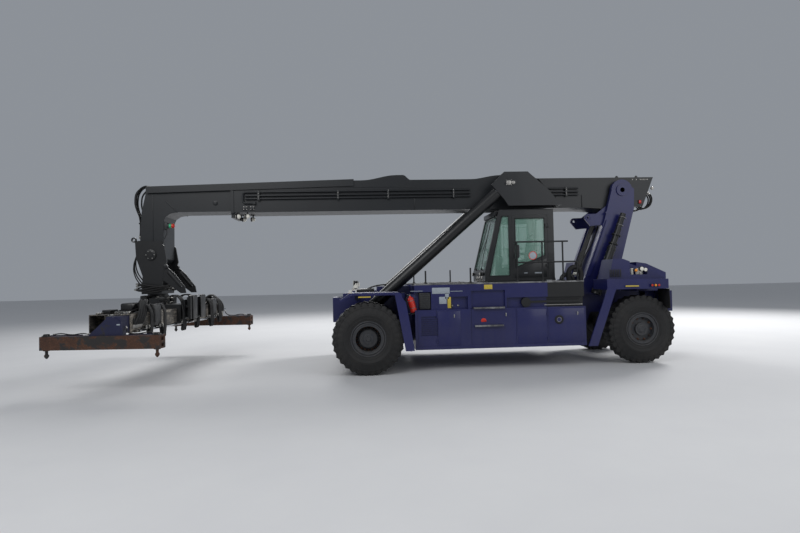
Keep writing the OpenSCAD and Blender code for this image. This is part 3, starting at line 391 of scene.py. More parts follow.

# %% [markdown]
# Small helpers keep each piece short. A place is given in millimetres from the middle of the
# drive axle, which is how the measurements were taken. Every piece starts from a primitive, is
# shaped in edit mode, and then gets a finish and a body to ride on.

# %% Modelling helpers
axes = {"X": (0, math.pi / 2, 0), "Y": (-math.pi / 2, 0, 0), "Z": (0, 0, 0)}


now = ["", "chassis"]


def group(name, body="chassis"):
    """The pieces that follow have this name and ride on this body."""
    now[:] = name, body


def at(x, y, z):
    return Vector((drive_x + x / 1000, y / 1000, z / 1000))


def edit(select="FACE"):
    bpy.ops.object.mode_set(mode="EDIT")
    bpy.ops.mesh.select_mode(type=select)
    bpy.ops.mesh.select_all(action="SELECT")


def finished(material, smooth=32):
    name, body = now
    bpy.ops.object.mode_set(mode="OBJECT")
    piece = bpy.context.object
    piece.name = name
    bpy.ops.object.transform_apply(location=True, rotation=True, scale=True)
    bpy.ops.object.shade_smooth_by_angle(angle=math.radians(smooth))
    piece.data.materials.clear()
    piece.data.materials.append(material)
    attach(piece, body)
    bpy.ops.object.select_all(action="DESELECT")
    return piece


def block(low, high, material, bevel=6, turn=(0, 0, 0)):
    """A block with rounded edges between two corners, in millimetres."""
    low, high = Vector(low), Vector(high)
    size = (high - low) / 1000
    bpy.ops.object.select_all(action="DESELECT")
    bpy.ops.mesh.primitive_cube_add(size=1, location=at(*(low + high) / 2), rotation=turn)
    bpy.context.object.scale = size
    bpy.ops.object.transform_apply(location=False, rotation=False, scale=True)
    edit()
    bpy.ops.mesh.bevel(offset=min(bevel / 1000, min(size) * 0.45), segments=2, affect="EDGES")
    return finished(material)


def plate(outline, y1, y2, material, bevel=4):
    """A flat plate cut to an outline of (x, z) and standing across y."""
    bpy.ops.object.select_all(action="DESELECT")
    bpy.ops.mesh.primitive_circle_add(vertices=len(outline), radius=1, fill_type="NGON")
    for vertex, (x, z) in zip(bpy.context.object.data.vertices, outline):
        vertex.co = at(x, y1, z)
    edit()
    bpy.ops.mesh.extrude_region_move(TRANSFORM_OT_translate={"value": (0, (y2 - y1) / 1000, 0)})
    bpy.ops.mesh.select_all(action="SELECT")
    bpy.ops.mesh.normals_make_consistent(inside=False)
    bpy.ops.mesh.bevel(offset=bevel / 1000, segments=2, affect="EDGES")
    return finished(material)


def turned(place, rings, material, axis="Y", side=1, sides=40):
    """A turned piece: a disc drawn out ring by ring, each (distance along the axis, radius)."""
    direction = {"X": Vector((1, 0, 0)), "Y": Vector((0, 1, 0)), "Z": Vector((0, 0, 1))}[axis] * side
    middle = at(*place)
    bpy.ops.object.select_all(action="DESELECT")
    bpy.ops.mesh.primitive_circle_add(vertices=sides, radius=rings[0][1] / 1000, fill_type="NGON",
        location=middle + direction * rings[0][0] / 1000, rotation=axes[axis])
    edit()
    for (along, radius), (before, last) in zip(rings[1:], rings):
        bpy.ops.mesh.extrude_region_move(TRANSFORM_OT_translate={"value": direction * (along - before) / 1000})
        bpy.ops.transform.resize(value=(radius / last,) * 3, center_override=middle + direction * along / 1000)
    bpy.ops.mesh.select_all(action="SELECT")
    bpy.ops.mesh.normals_make_consistent(inside=False)
    return finished(material)


def ring(place, radius, thick, material, axis="Y", flat=1.0, sides=56):
    """A rim or bead that runs round an axis, pressed flatter along it."""
    bpy.ops.object.select_all(action="DESELECT")
    bpy.ops.mesh.primitive_torus_add(major_radius=radius / 1000, minor_radius=thick / 1000,
        major_segments=sides, minor_segments=10, location=at(*place), rotation=axes[axis])
    edit()
    squeeze = [flat if letter == axis else 1 for letter in "XYZ"]
    bpy.ops.transform.resize(value=squeeze, center_override=at(*place))
    return finished(material)


def hose(points, radius, material, ends=True):
    """A hose or pipe along a smooth route, with a crimped collar at each end."""
    name = now[0]
    curve = bpy.data.curves.new(name, "CURVE")
    curve.dimensions = "3D"
    curve.bevel_depth = radius / 1000
    curve.bevel_resolution = 3
    curve.resolution_u = 6
    curve.use_fill_caps = True
    spline = curve.splines.new("BEZIER")
    spline.bezier_points.add(len(points) - 1)
    for knot, point in zip(spline.bezier_points, points):
        knot.co = at(*point)
        knot.handle_left_type = knot.handle_right_type = "AUTO"
    piece = bpy.data.objects.new(name, curve)
    bpy.context.collection.objects.link(piece)
    bpy.ops.object.select_all(action="DESELECT")
    piece.select_set(True)
    bpy.context.view_layer.objects.active = piece
    bpy.ops.object.convert(target="MESH")
    parts = [finished(material, 60)]
    if ends:
        for start, towards in ((points[0], points[1]), (points[-1], points[-2])):
            along = (Vector(towards) - Vector(start)).normalized()
            bpy.ops.mesh.primitive_cylinder_add(vertices=12, radius=radius * 1.35 / 1000,
                depth=radius * 4.4 / 1000, location=at(*Vector(start) + along * radius * 2.2),
                rotation=along.to_track_quat("Z", "Y").to_euler())
            edit()
            bpy.ops.mesh.bevel(offset=radius * 0.25 / 1000, segments=2, affect="EDGES")
            parts.append(finished(zinc))
    return joined(parts)


def joined(parts):
    """One piece from several that ride together."""
    name = now[0]
    bpy.ops.object.select_all(action="DESELECT")
    for part in parts:
        part.select_set(True)
    bpy.context.view_layer.objects.active = parts[0]
    if len(parts) > 1:
        bpy.ops.object.join()
    parts[0].name = name
    bpy.ops.object.select_all(action="DESELECT")
    return parts[0]


def copied(piece, name, body, shift=(0, 0, 0), mirror=False):
    """The same piece again with its own mesh, moved, or mirrored to the machine's other side."""
    twin = piece.copy()
    twin.data = piece.data.copy()
    twin.name = name
    bpy.context.collection.objects.link(twin)
    twin.data.transform(Matrix.Translation(Vector(shift) / 1000))
    if mirror:
        twin.data.transform(Matrix.Scale(-1, 4, (0, 1, 0)))
        twin.data.flip_normals()
    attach(twin, body)
    return twin


def both(piece, mirror_body=None):
    """Adds the mirrored twin of a piece, on the same body or on the other side's own."""
    return copied(piece, piece.name + "_right", mirror_body or now[1], mirror=True)


def bolts(places, axis, side, radius, height, material, sides=6):
    """Bolt heads: one is modelled with its washer, the others are its copies."""
    name, body = now
    first = turned(places[0], [(-1, radius * 1.35), (height * 0.25, radius * 1.35), (height * 0.26, radius),
        (height * 0.85, radius), (height, radius * 0.8)], material, axis, side, sides)
    others = [copied(first, name, body, Vector(p) - Vector(places[0])) for p in places[1:]]
    return joined([first] + others)


def circle_of(place, radius, count, start=0.0):
    """Places on a circle round the Y axis."""
    return [(place[0] + radius * math.cos(start + 2 * math.pi * k / count), place[1],
             place[2] + radius * math.sin(start + 2 * math.pi * k / count)) for k in range(count)]


print("helpers ready")

# %% [markdown]
# A few finishes belong to small pieces only: zinc-plated fittings, blank plates and signs, and
# the fire extinguisher's red.

# %% Small finishes
def small_finish(name, color, roughness, metallic=0.0, spread=0.15):
    finish = Finish(name, color, roughness, metallic=metallic)
    cloud = finish.noise(16, 5)
    finish.put("Base Color", finish.mix(cloud, tuple(c * (1 - spread) for c in color),
                                        tuple(min(1, c * (1 + spread)) for c in color)))
    finish.put("Roughness", cloud * 0.2 + (roughness - 0.1))
    return finish.bump(finish.noise(180, 3), 0.0003, 0.3).material


zinc = small_finish("zinc", (0.36, 0.35, 0.33), 0.38, metallic=0.85, spread=0.35)
blank_plate = small_finish("blank_plate", (0.34, 0.38, 0.42), 0.45)
blank_yellow = small_finish("blank_yellow", (0.55, 0.42, 0.05), 0.45)
signal_red = small_finish("signal_red", (0.62, 0.03, 0.015), 0.35)
green_lens = small_finish("green_lens", (0.04, 0.42, 0.20), 0.3)

# %% [markdown]
# Wheels. The drive wheels show a deep rim with a stepped planetary hub, the steered wheels a
# flatter disc with ten nuts. Beads on the sidewall and blocks between the shoulder lugs give
# the tyres their moulded look. Each is made once on the left and mirrored.

# %% Wheels
wheel_z = wheel_r * 1000
wheelbase = 6500


def wheel_face(name, x, disc_y, rim_y, hub, nuts, nut_circle, body):
    """A dish, a rim flange with its lock ring, and wheel nuts, all on one body."""
    group(name, body)
    parts = [turned((x, disc_y, wheel_z), hub, rim_paint, sides=48),
        ring((x, rim_y, wheel_z), 336, 22, rim_paint, flat=0.8),
        ring((x, rim_y + 10, wheel_z), 384, 17, rim_paint, flat=0.9),
        ring((x, rim_y - 14, wheel_z), 306, 14, rim_paint),
        ring((x, rim_y - 60, wheel_z), 296, 16, rim_paint),
        bolts(circle_of((x, disc_y + hub[1][0], wheel_z), nut_circle, nuts), "Y", 1, 23, 44, rusty)]
    return joined(parts)


def sidewall(name, x, face_y, body):
    """Three moulded beads and the wear bars on a tyre's outer side."""
    group(name, body)
    beads = [ring((x, face_y - drop, wheel_z), radius, thick, tyre_rubber, flat=0.7)
        for radius, thick, drop in ((372, 16, 50), (455, 9, 24), (560, 8, 6), (700, 9, 36))]
    bar = turned((x + 752, face_y - 60, wheel_z), [(0, 26), (16, 24), (24, 16)], tyre_rubber, sides=4)
    beads.append(bar)
    for k in range(1, 32):
        twin = copied(bar, name, body)
        middle = at(x, 0, wheel_z)
        twin.data.transform(Matrix.Translation(middle) @ Matrix.Rotation(k * math.pi / 16, 4,
            "Y") @ Matrix.Translation(-middle))
        beads.append(twin)
    return joined(beads)


drive_hub = [(0.3, 288), (22, 284), (34, 232), (120, 222), (150, 196), (158, 120), (172, 112), (178, 60),
    (190, 54)]
drive_face = wheel_face("drive_wheel_face_left", 0, 1750, 2004, drive_hub, 20, 258, "left_drive_wheels")
copied(drive_face, "drive_wheel_face_right", "right_drive_wheels", mirror=True)
steer_hub = [(0.3, 290), (20, 288), (26, 214), (30, 130), (70, 112), (96, 104), (104, 70), (112, 62)]
steer_face = wheel_face("steer_wheel_face_left", -wheelbase, 1380, 1494, steer_hub, 10, 254, "left_steer_wheel")
copied(steer_face, "steer_wheel_face_right", "right_steer_wheel", mirror=True)
drive_side = sidewall("drive_sidewall_left", 0, 2055, "left_drive_wheels")
copied(drive_side, "drive_sidewall_right", "right_drive_wheels", mirror=True)
steer_side = sidewall("steer_sidewall_left", -wheelbase, 1545, "left_steer_wheel")
copied(steer_side, "steer_sidewall_right", "right_steer_wheel", mirror=True)
print("wheels dressed")

# %% [markdown]
# Side boxes and lockers: door leaves with a raised edge, hinges and latches, the plates beside
# the ladder (blank here), and the fire extinguisher in its niche.

# %% Side boxes and lockers
side = 1650
door_spans = [(-1606, -2126), (-3460, -4140), (-4200, -5046)]

group("box_doors")
leaves = [plate([(x1, 560), (x2, 560), (x2, 1360), (x1, 1360)], side - 2, side + 6, body_blue, 5)
    for x1, x2 in door_spans]
both(joined(leaves))

group("box_hinges")
hinges = [turned((x, side + 6, z), [(0, 15), (3, 17), (62, 17), (66, 13)], body_blue, "Z", 1, 14)
    for x in (-1582, -4164) for z in (640, 1210)]
both(joined(hinges))

group("box_latches")
latches = [joined([block((x - 12, side, z - 38), (x + 12, side + 16, z + 38), zinc, 5),
    turned((x, side + 16, z + 14), [(0, 15), (9, 15), (12, 11)], zinc, sides=18)])
    for x, z in ((-1984, 1247), (-3190, 1250), (-4880, 1240))]
both(joined(latches))

group("locker_latches")
locker_latches = [turned((x, 1509, z), [(0, 24), (10, 24), (16, 16), (30, 15), (34, 10)], zinc, sides=20)
    for x, z in ((-1960, 1478), (-2100, 1478))]
both(joined(locker_latches))
plates = [((-1488, 1905), (-1897, 1765), blank_plate), ((-1650, 1692), (-1820, 1530), blank_plate),
    ((-1842, 1686), (-1922, 1430), blank_yellow), ((-1790, 1780), (-1876, 1640), blank_plate),
    ((-2704, 1950), (-2898, 1845), blank_yellow)]

group("blank_plates")
label_parts = [block((x2, 1598, z2), (x1, 1604, z1), finish, 2) for (x1, z1), (x2, z2), finish in plates]
both(joined(label_parts))

group("step_label")
turned((-2665, side - 1, 1118), [(0, 62), (5, 62), (6, 60)], signal_red, sides=32)
edit("VERT")
bpy.ops.mesh.bisect(plane_co=at(-2665, side, 1095), plane_no=(0, 0, 1), clear_inner=True, use_fill=True)
both(finished(signal_red))

group("extinguisher")
bottle = [turned((-1018, 1556, 1350),
    [(0, 62), (8, 72), (30, 76), (300, 76), (330, 66), (352, 34), (372, 24), (384, 24)], signal_red, "Z", 1,
    28),
    turned((-1018, 1556, 1734), [(0, 20), (26, 20), (30, 14)], zinc, "Z", 1, 16),
    block((-1050, 1540, 1758), (-960, 1572, 1778), black_paint, 4),
    ring((-1018, 1556, 1450), 79, 6, zinc, "Z", sides=32),
    ring((-1018, 1556, 1620), 79, 6, zinc, "Z", sides=32),
    hose([(-1000, 1560, 1740), (-925, 1580, 1700), (-915, 1590, 1560), (-935, 1590, 1430)], 12, hose_rubber,
        ends=False)]
bottle = joined(bottle)
grip = at(-1018, 1556, 1540)
bottle.data.transform(Matrix.Translation(grip) @ Matrix.Rotation(0.24, 4, "Y") @ Matrix.Translation(-grip))
both(bottle)

group("extinguisher_niche")
niche = [block((-1110, 1470, 1340), (-925, 1500, 1760), body_blue, 4),
    block((-1110, 1470, 1310), (-925, 1620, 1326), black_paint, 4)]
both(joined(niche))

group("filler_ring")
filler = [ring((-4439, side + 8, 1104), 82, 25, hose_rubber, flat=0.7),
    ring((-4439, side + 10, 1104), 50, 7, zinc, flat=0.7)]
both(joined(filler))

# Painted highlights: pale strips where the deck's edge catches the light.
group("deck_edge_glint")
deck_edge_glints = [block((x2, 1598, z - 6), (x1, 1606, z + 6), blank_plate, 2)
    for x1, x2, z in ((-984, -1270, 1837), (-1912, -2200, 1816))]
both(joined(deck_edge_glints))

group("filter_case")
case = [block((-1452, 1482, 1402), (-1180, 1610, 1800), black_plastic, 38),
    block((-1436, 1602, 1430), (-1200, 1622, 1780), black_plastic, 16)]
case += [block((-1440, 1612, z), (-1196, 1630, z + 14), black_plastic, 5) for z in range(1470, 1760, 48)]
both(joined(case))
print("side boxes dressed")

# %% [markdown]
# The front fender carries a marker and reflector strips, a work lamp stands on a post, and the
# rear hood has its cluster of lamps, louvres and the strip along its side.

# %% Fenders and hood
def strip(x1, z1, x2, z2, y, high, material):
    """A thin strip along a sloping line on a side face."""
    return plate([(x1, z1), (x2, z2), (x2, z2 - high), (x1, z1 - high)], y, y + 5, material, 2)


group("front_reflector")
both(strip(205, 1756, -70, 1756, 2060, 26, blank_yellow))

group("rear_reflector")
both(strip(-6010, 1858, -6330, 1855, 1740, 30, blank_yellow))
lamp_parts = []

group("fender_lamps")
for x, z, lens in ((-6650, 1850, red_lens), (-6730, 1850, amber), (-6810, 1850, red_lens)):
    lamp_parts.append(turned((x, 1739, z), [(0, 36), (10, 36), (14, 30)], black_plastic, sides=24))
    lamp_parts.append(turned((x, 1740, z), [(12, 27), (20, 26), (24, 18)], lens, sides=24))
both(joined(lamp_parts))
rear_cluster = []

group("hood_lamps")
for x, z, lens, r in ((-6560, 2180, lamp_glass, 46), (-6470, 2200, lamp_glass, 52), (-6330, 2170, amber, 40)):
    rear_cluster += [turned((x, 1600, z + 40),
        [(-70, r * 0.6), (-50, r), (20, r + 4), (30, r + 4), (34, r - 6)], black_plastic, sides=28),
        turned((x, 1600, z + 40), [(31, r - 4), (40, r - 7), (46, r * 0.5)], lens, sides=28)]
both(joined(rear_cluster))

group("front_lamp")
post = [turned((260, 1550, 1925), [(0, 40), (10, 40), (12, 18), (60, 16)], black_paint, "Z", 1, 20),
    block((236, 1490, 2010), (244, 1610, 2090), black_paint, 2),
    turned((246, 1550, 2050), [(-2, 34), (20, 60), (60, 64), (68, 64), (70, 58)], black_plastic, "X", 1, 32),
    turned((246, 1550, 2050), [(68, 58), (76, 50), (80, 24)], lamp_glass, "X", 1, 32)]
both(joined(post))

group("marker_lamp")
marker = [turned((386, 1820, 1826), [(0, 40), (26, 38), (50, 26), (58, 8)], amber, "Z", 1, 24)]
both(joined(marker))

group("fender_edge")
edge = hose([(620, 2052, 1672), (500, 2052, 1718), (380, 2052, 1775), (0, 2052, 1778), (-690, 2052, 1778)], 9,
    body_blue, ends=False)
both(edge)

group("mud_flap")
flap = [plate([(-7078, 1760), (-7090, 1760), (-7104, 1300), (-7092, 1300)], 1180, 1700, hose_rubber, 3)]
both(joined(flap))

group("hood_louvres")
louvres = [block((x, 1583, 2060), (x + 22, 1596, 2240), black_paint, 5) for x in range(-5980, -5700, 42)]
both(joined(louvres))
print("fenders dressed")

# %% [markdown]
# The exhaust climbs along the tower: guard rings, clamps and a stack.
# The air intake hose loops beside it out of the deck.

# %% Exhaust and intake
exhaust_low, exhaust_high = Vector((-5695, 0, 1640)), Vector((-6330, 0, 3230))
exhaust_dir = (exhaust_high - exhaust_low).normalized()
exhaust_turn = exhaust_dir.to_track_quat("Z", "Y").to_euler()


def exhaust_band(along, radius, thick, material):
    place = exhaust_low + exhaust_dir * along
    bpy.ops.object.select_all(action="DESELECT")
    bpy.ops.mesh.primitive_torus_add(major_radius=radius / 1000, minor_radius=thick / 1000, major_segments=40,
        minor_segments=8, location=at(place.x, exhaust_y, place.z), rotation=exhaust_turn)
    return finished(material)


exhaust_box = [Vector(corner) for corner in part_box("exhaust")]
exhaust_y = (exhaust_box[0].y + exhaust_box[1].y) / 2 * 1000

group("exhaust_bands")
bands = [exhaust_band(d, 102, 9, black_paint) for d in (240, 420, 560)]
bands += [exhaust_band(d, 103, 6, zinc) for d in (780, 960, 1100)]
bands += [exhaust_band(d, 80, 8, zinc) for d in (1850, 2060)]
joined(bands)

group("exhaust_stack")
hose([(-6326, exhaust_y, 3250), (-6404, exhaust_y, 3449), (-6483, exhaust_y, 3650)], 70, black_paint,
    ends=False)

group("intake_hose")
hose([(-4850, 1250, 2002), (-4840, 1250, 2150), (-4890, 1250, 2280), (-5000, 1250, 2326), (-5105, 1250, 2280),
    (-5150, 1250, 2150), (-5140, 1250, 2002)], 58, hose_rubber, ends=False)
print("exhaust at y =", round(exhaust_y))

# %% [markdown]
# The cab: rubber seals round the panes, the wiper, handles, mirror and the rail with its blank
# sign. The door stands shut, and what is fixed to it rides with it.

# %% Cab outside
def seal(outline, y, thick):
    """A rubber seal that follows the edge of a pane."""
    route = [(x, y, z) for x, z in outline] + [(outline[0][0], y, outline[0][1])]
    parts = []
    for start, end in zip(route, route[1:]):
        along = Vector(end) - Vector(start)
        bpy.ops.object.select_all(action="DESELECT")
        bpy.ops.mesh.primitive_cylinder_add(vertices=8, radius=thick / 1000, depth=along.length / 1000,
            location=at(*(Vector(start) + Vector(end)) / 2), rotation=along.to_track_quat("Z", "Y").to_euler())
        edit()
        bpy.ops.mesh.bevel(offset=thick * 0.3 / 1000, segments=1, affect="EDGES")
        parts.append(finished(hose_rubber, 60))
    return joined(parts)


windscreen = lambda z: -2920 - 380 * max(0, z - 2270) / 1510
door_pane = [(-4440, 2640), (-3700, 2350), (-3700, 3570), (-4440, 3570)]
quarter = [(-3540, 2150), (windscreen(2150) - 110, 2150), (windscreen(3630) - 110, 3630), (-3540, 3630)]

group("door_seal", "left_door")
both(seal(door_pane, 752, 11), "right_door")

group("quarter_seal")
both(seal(quarter, 752, 11))

group("door_handle", "left_door")
handle = [block((-3700, 750, 2560), (-3660, 764, 2760), black_plastic, 5),
    hose([(-3680, 758, 2590), (-3680, 792, 2610), (-3680, 796, 2660), (-3680, 792, 2710), (-3680, 758, 2730)],
        9, black_plastic, ends=False)]
both(joined(handle), "right_door")

group("door_kick_panel", "left_door")
kick = plate([(-4480, 2090), (-3670, 2090), (-3670, 2280), (-4480, 2560)], 748, 756, cab_black, 4)
both(kick, "right_door")

group("cab_tags", "left_door")
tags = [block((-4390, 755, 2190), (-4170, 758, 2222), blank_plate, 1),
    block((-3990, 755, 2196), (-3900, 758, 2218), blank_plate, 1)]
both(joined(tags), "right_door")

group("roof_gutter")
roof_edge = [hose([(windscreen(3780) + 4, y, 3784), (-3700, y, 3790), (-4684, y, 3784)], 13, cab_black,
    ends=False) for y in (-736, 736)]
roof_edge.append(block((-4500, -560, 3778), (-3500, 560, 3812), cab_black, 14))
roof_edge.append(block((windscreen(3700) + 2, -640, 3660), (windscreen(3700) + 60, 640, 3776), cab_black, 10))
joined(roof_edge)

group("window_guard")
guard = [hose([(x, -640, 2720), (x, -640, 3100), (x, -640, 3560)], 8, black_paint, ends=False)
    for x in (-3760, -3960, -4180)]
guard.append(hose([(-3700, -640, 3470), (-4000, -640, 3470), (-4440, -640, 3470)], 7, black_paint, ends=False))
joined(guard)
wiper = []

group("wipers")
for y in (-330, 330):
    low = Vector((windscreen(2330) + 18, y, 2330))
    high = Vector((windscreen(3180) + 18, y * 0.55, 3180))
    wiper += [turned(tuple(low), [(-20, 26), (14, 26), (20, 18)], black_plastic, "X", 1, 20),
        hose([tuple(low), tuple((low + high) / 2 + Vector((8, 0, 0))), tuple(high)], 8, black_plastic,
            ends=False),
        hose([tuple(high - Vector((-150, 0, 420))), tuple(high), tuple(high + Vector((-90, 0, 330)))], 7,
            hose_rubber, ends=False)]
joined(wiper)

group("mirror")
mirror = [hose([(-3452, 1560, 2880), (-3500, 1440, 2920), (-3586, 1300, 2905)], 11, black_paint, ends=False),
    block((-3622, 1205, 2560), (-3556, 1395, 2880), black_plastic, 30)]
glass_face = block((-3630, 1222, 2580), (-3622, 1378, 2860), blank_plate, 3)
both(joined(mirror + [glass_face]))

group("round_sign")
sign = [turned((-3880, 1576, 2605), [(0, 98), (4, 98), (5, 96)], blank_plate, sides=40),
    ring((-3880, 1581, 2605), 90, 8, signal_red, flat=0.4, sides=40),
    block((-3990, 1566, 2440), (-3770, 1576, 2470), black_paint, 4),
    block((-3890, 1568, 2440), (-3870, 1576, 2700), black_paint, 3)]
both(joined(sign))

group("rail_feet")
feet = [turned((x, 1560, 2000), [(0, 48), (9, 48), (10, 30), (38, 26)], black_paint, "Z", 1, 20)
    for x in (-3510, -4110, -4600, -4940, -2400, -1350)]
both(joined(feet))

group("cab_pipes")
lines = [hose([(x, 690, 2010), (x + 30, 705, 2080), (x + 10, 700, 2150)], 16, hose_rubber)
    for x in (-2860, -2800, -2745)]
joined(lines)

group("cab_bumper")
bumper = [block((-2915, -620, 2160), (-2880, 620, 2250), cab_black, 12)]
bumper += [turned((-2882, y, 2205), [(-4, 40), (16, 44), (40, 46), (44, 38)], black_plastic, "X", 1, 28)
    for y in (-480, 480)]
bumper += [turned((-2882, y, 2205), [(43, 39), (50, 32), (54, 12)], lamp_glass, "X", 1, 28)
    for y in (-480, 480)]
joined(bumper)
print("cab dressed outside")

# %% [markdown]
# Inside the cab: the seat is upholstery, so its cushions are closed crowned forms with sewn
# channels that replace the plain solid. The console gets its screen and a lever.

# %% Seat
def cushion(name, low, high, crown, turn=0.0):
    """A pad: a block cut fine, puffed by pressure in a short cloth run, with a sewn groove."""
    group(name)
    low, high = Vector(low), Vector(high)
    middle = (low + high) / 2
    size = (high - low) / 1000
    bpy.ops.object.select_all(action="DESELECT")
    bpy.ops.mesh.primitive_cube_add(size=1, location=at(*middle))
    pad = bpy.context.object
    pad.scale = (size.x - 0.02, size.y - 0.02, size.z - 0.02)
    bpy.ops.object.transform_apply(location=True, rotation=True, scale=True)
    edit()
    bpy.ops.mesh.bevel(offset=min(size) * 0.3, segments=3, affect="EDGES")
    bpy.ops.object.mode_set(mode="OBJECT")
    pad.data.remesh_voxel_size = 0.012
    bpy.ops.object.voxel_remesh()
    cloth = pad.modifiers.new("puff", "CLOTH")
    cloth.settings.use_pressure = True
    cloth.settings.uniform_pressure_force = 4.0
    cloth.settings.effector_weights.gravity = 0.0
    before = [v.co.copy() for v in pad.data.vertices]
    for step in range(1, 13):
        bpy.context.scene.frame_set(step)
    bpy.ops.object.modifier_apply(modifier="puff")
    for vertex, rest in zip(pad.data.vertices, before):
        moved = vertex.co - rest
        if moved.length > 0.012:
            vertex.co = rest + moved.normalized() * 0.012
    bpy.context.scene.frame_set(1)
    centre = at(*middle)
    for vertex in pad.data.vertices:
        offset = vertex.co - centre
        reach = max(abs(offset.x) / size.x, abs(offset.y) / size.y) * 2
        across = abs(abs(offset.y) - size.y * 0.27)
        seam = 0.008 * math.exp(-(across / 0.008) ** 2)
        edge = 0.006 * math.exp(-((reach - 0.86) / 0.05) ** 2)
        thin = "z" if crown == "z" else "x"
        toward = 1 if getattr(offset, thin) > 0 else -1
        setattr(vertex.co, thin, getattr(vertex.co, thin) - toward * (seam + edge))
    if turn:
        pad.data.transform(Matrix.Translation(centre) @ Matrix.Rotation(turn, 4,
            "Y") @ Matrix.Translation(-centre))
    bpy.context.view_layer.objects.active = pad
    pad.select_set(True)
    return finished(seat_fabric, 80)


group("seat_base")
base = [block((-4150, -200, 2071), (-3850, 200, 2330), black_plastic, 18),
    block((-4190, -225, 2330), (-3800, 225, 2418), black_plastic, 14)]
base += [ring((-4000, 0, z), 150, 9, hose_rubber, "Z", sides=36) for z in (2160, 2200, 2240)]
seat_stand = joined(base)
seat_pad = cushion("seat_cushion", (-4250, -255, 2425), (-3745, 255, 2535), "z")
back_pad = cushion("seat_back", (-4330, -245, 2560), (-4215, 245, 3130), "x", turn=-0.13)
head_pad = cushion("seat_headrest", (-4372, -130, 3145), (-4290, 130, 3250), "x", turn=-0.13)
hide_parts("operator_seat")

group("seat_arms")
arms = [block((-4250, y, 2690), (-3900, y + 60, 2735), black_plastic, 16) for y in (-330, 270)]
arms += [hose([(-4230, y, 2500), (-4240, y, 2600), (-4220, y, 2700)], 14, black_plastic, ends=False)
    for y in (-285, 285)]
joined(arms)

group("cab_panel")
panel = [block((-3160, -400, 2400), (-3120, -150, 2560), black_plastic, 12, (0, -0.25, 0)),
    block((-3168, -385, 2415), (-3160, -165, 2545), blank_plate, 2, (0, -0.25, 0)),
    hose([(-3140, -275, 2080), (-3150, -275, 2250), (-3140, -275, 2410)], 16, black_plastic, ends=False)]
joined(panel)

group("cab_lever")
lever = [hose([(-3960, -300, 2730), (-3950, -300, 2790), (-3955, -300, 2850)], 9, black_plastic, ends=False),
    turned((-3955, -300, 2840), [(0, 18), (30, 25), (62, 25), (84, 14)], black_plastic, "Z", 1, 20)]
joined(lever)
print("cab dressed inside")

# %% [markdown]
# Boom. Bolted pads and stiffeners stand on its sides, pins have their keeper plates, and hoses
# loop from the tower to its rear end. The tray over its front half rides on the inner boom.

# %% Boom fittings
boom_side = 430

group("eye_keeper", "boom")
keeper = [plate([(-3730, 4490), (-3700, 4520), (-3500, 4520), (-3440, 4470), (-3440, 4400), (-3490, 4370),
    (-3660, 4370), (-3730, 4420)], 884, 896, boom_charcoal, 4)]
keeper += [turned((x, 894, z), [(0, r), (14, r), (20, r * 0.8), (22, r * 0.3)], zinc, sides=28)
    for x, z, r in ((-3652, 4444, 44), (-3540, 4440, 62))]
keeper.append(bolts([(-3480, 896, 4500), (-3480, 896, 4395), (-3600, 896, 4505), (-3600, 896, 4385)], "Y", 1,
    12, 14, zinc))
both(joined(keeper))
pads = []

group("pad_plates", "boom")
for x in (2790, 2960):
    for z in (3960, 4480):
        pads.append(block((x - 62, boom_side, z - 55), (x + 62, boom_side + 16, z + 55), boom_charcoal, 4))
        pads.append(bolts([(x + dx, boom_side + 15, z + dz) for dx in (-38, 38) for dz in (-32, 32)], "Y", 1, 11, 16,
            zinc))
both(joined(pads))

group("boom_ribs", "boom")
ribs = [block((x, boom_side - 2, 3862), (x + 22, boom_side + 18, 4180), boom_charcoal, 5)
    for x in (-5560, -4880, -1250)]
ribs += [block((-1240, boom_side - 2, 4440), (2400, boom_side + 8, 4456), boom_charcoal, 3)]
both(joined(ribs))
clips = []

group("pipe_clips", "boom")
for x in (2625, 675, -575, -2225, -5125):
    for z in (4350, 4262, 4185):
        clips.append(ring((x, boom_side + 45, z), 26, 7, zinc, "X", sides=20))
    clips.append(bolts([(x, boom_side + 74, 4306), (x, boom_side + 74, 4223)], "Y", 1, 9, 16, zinc))
both(joined(clips))
work_lamps = []

group("work_lamps", "boom")
for x in (3150, 2925):
    work_lamps += [turned((x + 36, 350, 3765), [(-62, 20), (-52, 40), (-20, 54), (10, 60), (18, 60), (20, 54)],
        black_plastic, "X", 1, 30),
        turned((x + 36, 350, 3765), [(19, 54), (28, 48), (33, 20)], lamp_glass, "X", 1, 30),
        block((x - 14, 322, 3790), (x + 14, 378, 3852), black_paint, 4)]
both(joined(work_lamps))

group("boom_ears", "boom")
ears = [plate([(x - 60, 4620), (x - 20, 4690), (x + 20, 4690), (x + 60, 4620)], y - 12, y + 12, boom_charcoal,
    4) for x in (-7080, -6560) for y in (-260, 260)]
joined(ears)

group("tail_lamps", "boom")
tail = [block((-7110, boom_side, 3930), (-7030, boom_side + 26, 4030), black_plastic, 10),
    block((-7102, boom_side + 24, 3940), (-7038, boom_side + 38, 4020), red_lens, 8),
    turned((-7410, boom_side, 4330), [(0, 44), (20, 44), (30, 34), (46, 30)], zinc, sides=24)]
both(joined(tail))

group("rear_hoses", "boom")
rear_hoses = [hose([(-7090, y, 3940), (-7180, y, 3830), (-7330, y, 3850), (-7440, y, 3990), (-7430, y, 4150),
    (-7330, y, 4240)], 19, hose_rubber) for y in (-250, -150, 150, 250, 330)]
joined(rear_hoses)

group("rear_plate_bolts", "boom")
end_rows = bolts([(-7300 + 38 * k, boom_side, 4560) for k in range(6)] + [(-7000, boom_side, 4560),
    (-6900, boom_side, 4560)],
    "Y", 1, 12, 16, zinc)
both(end_rows)

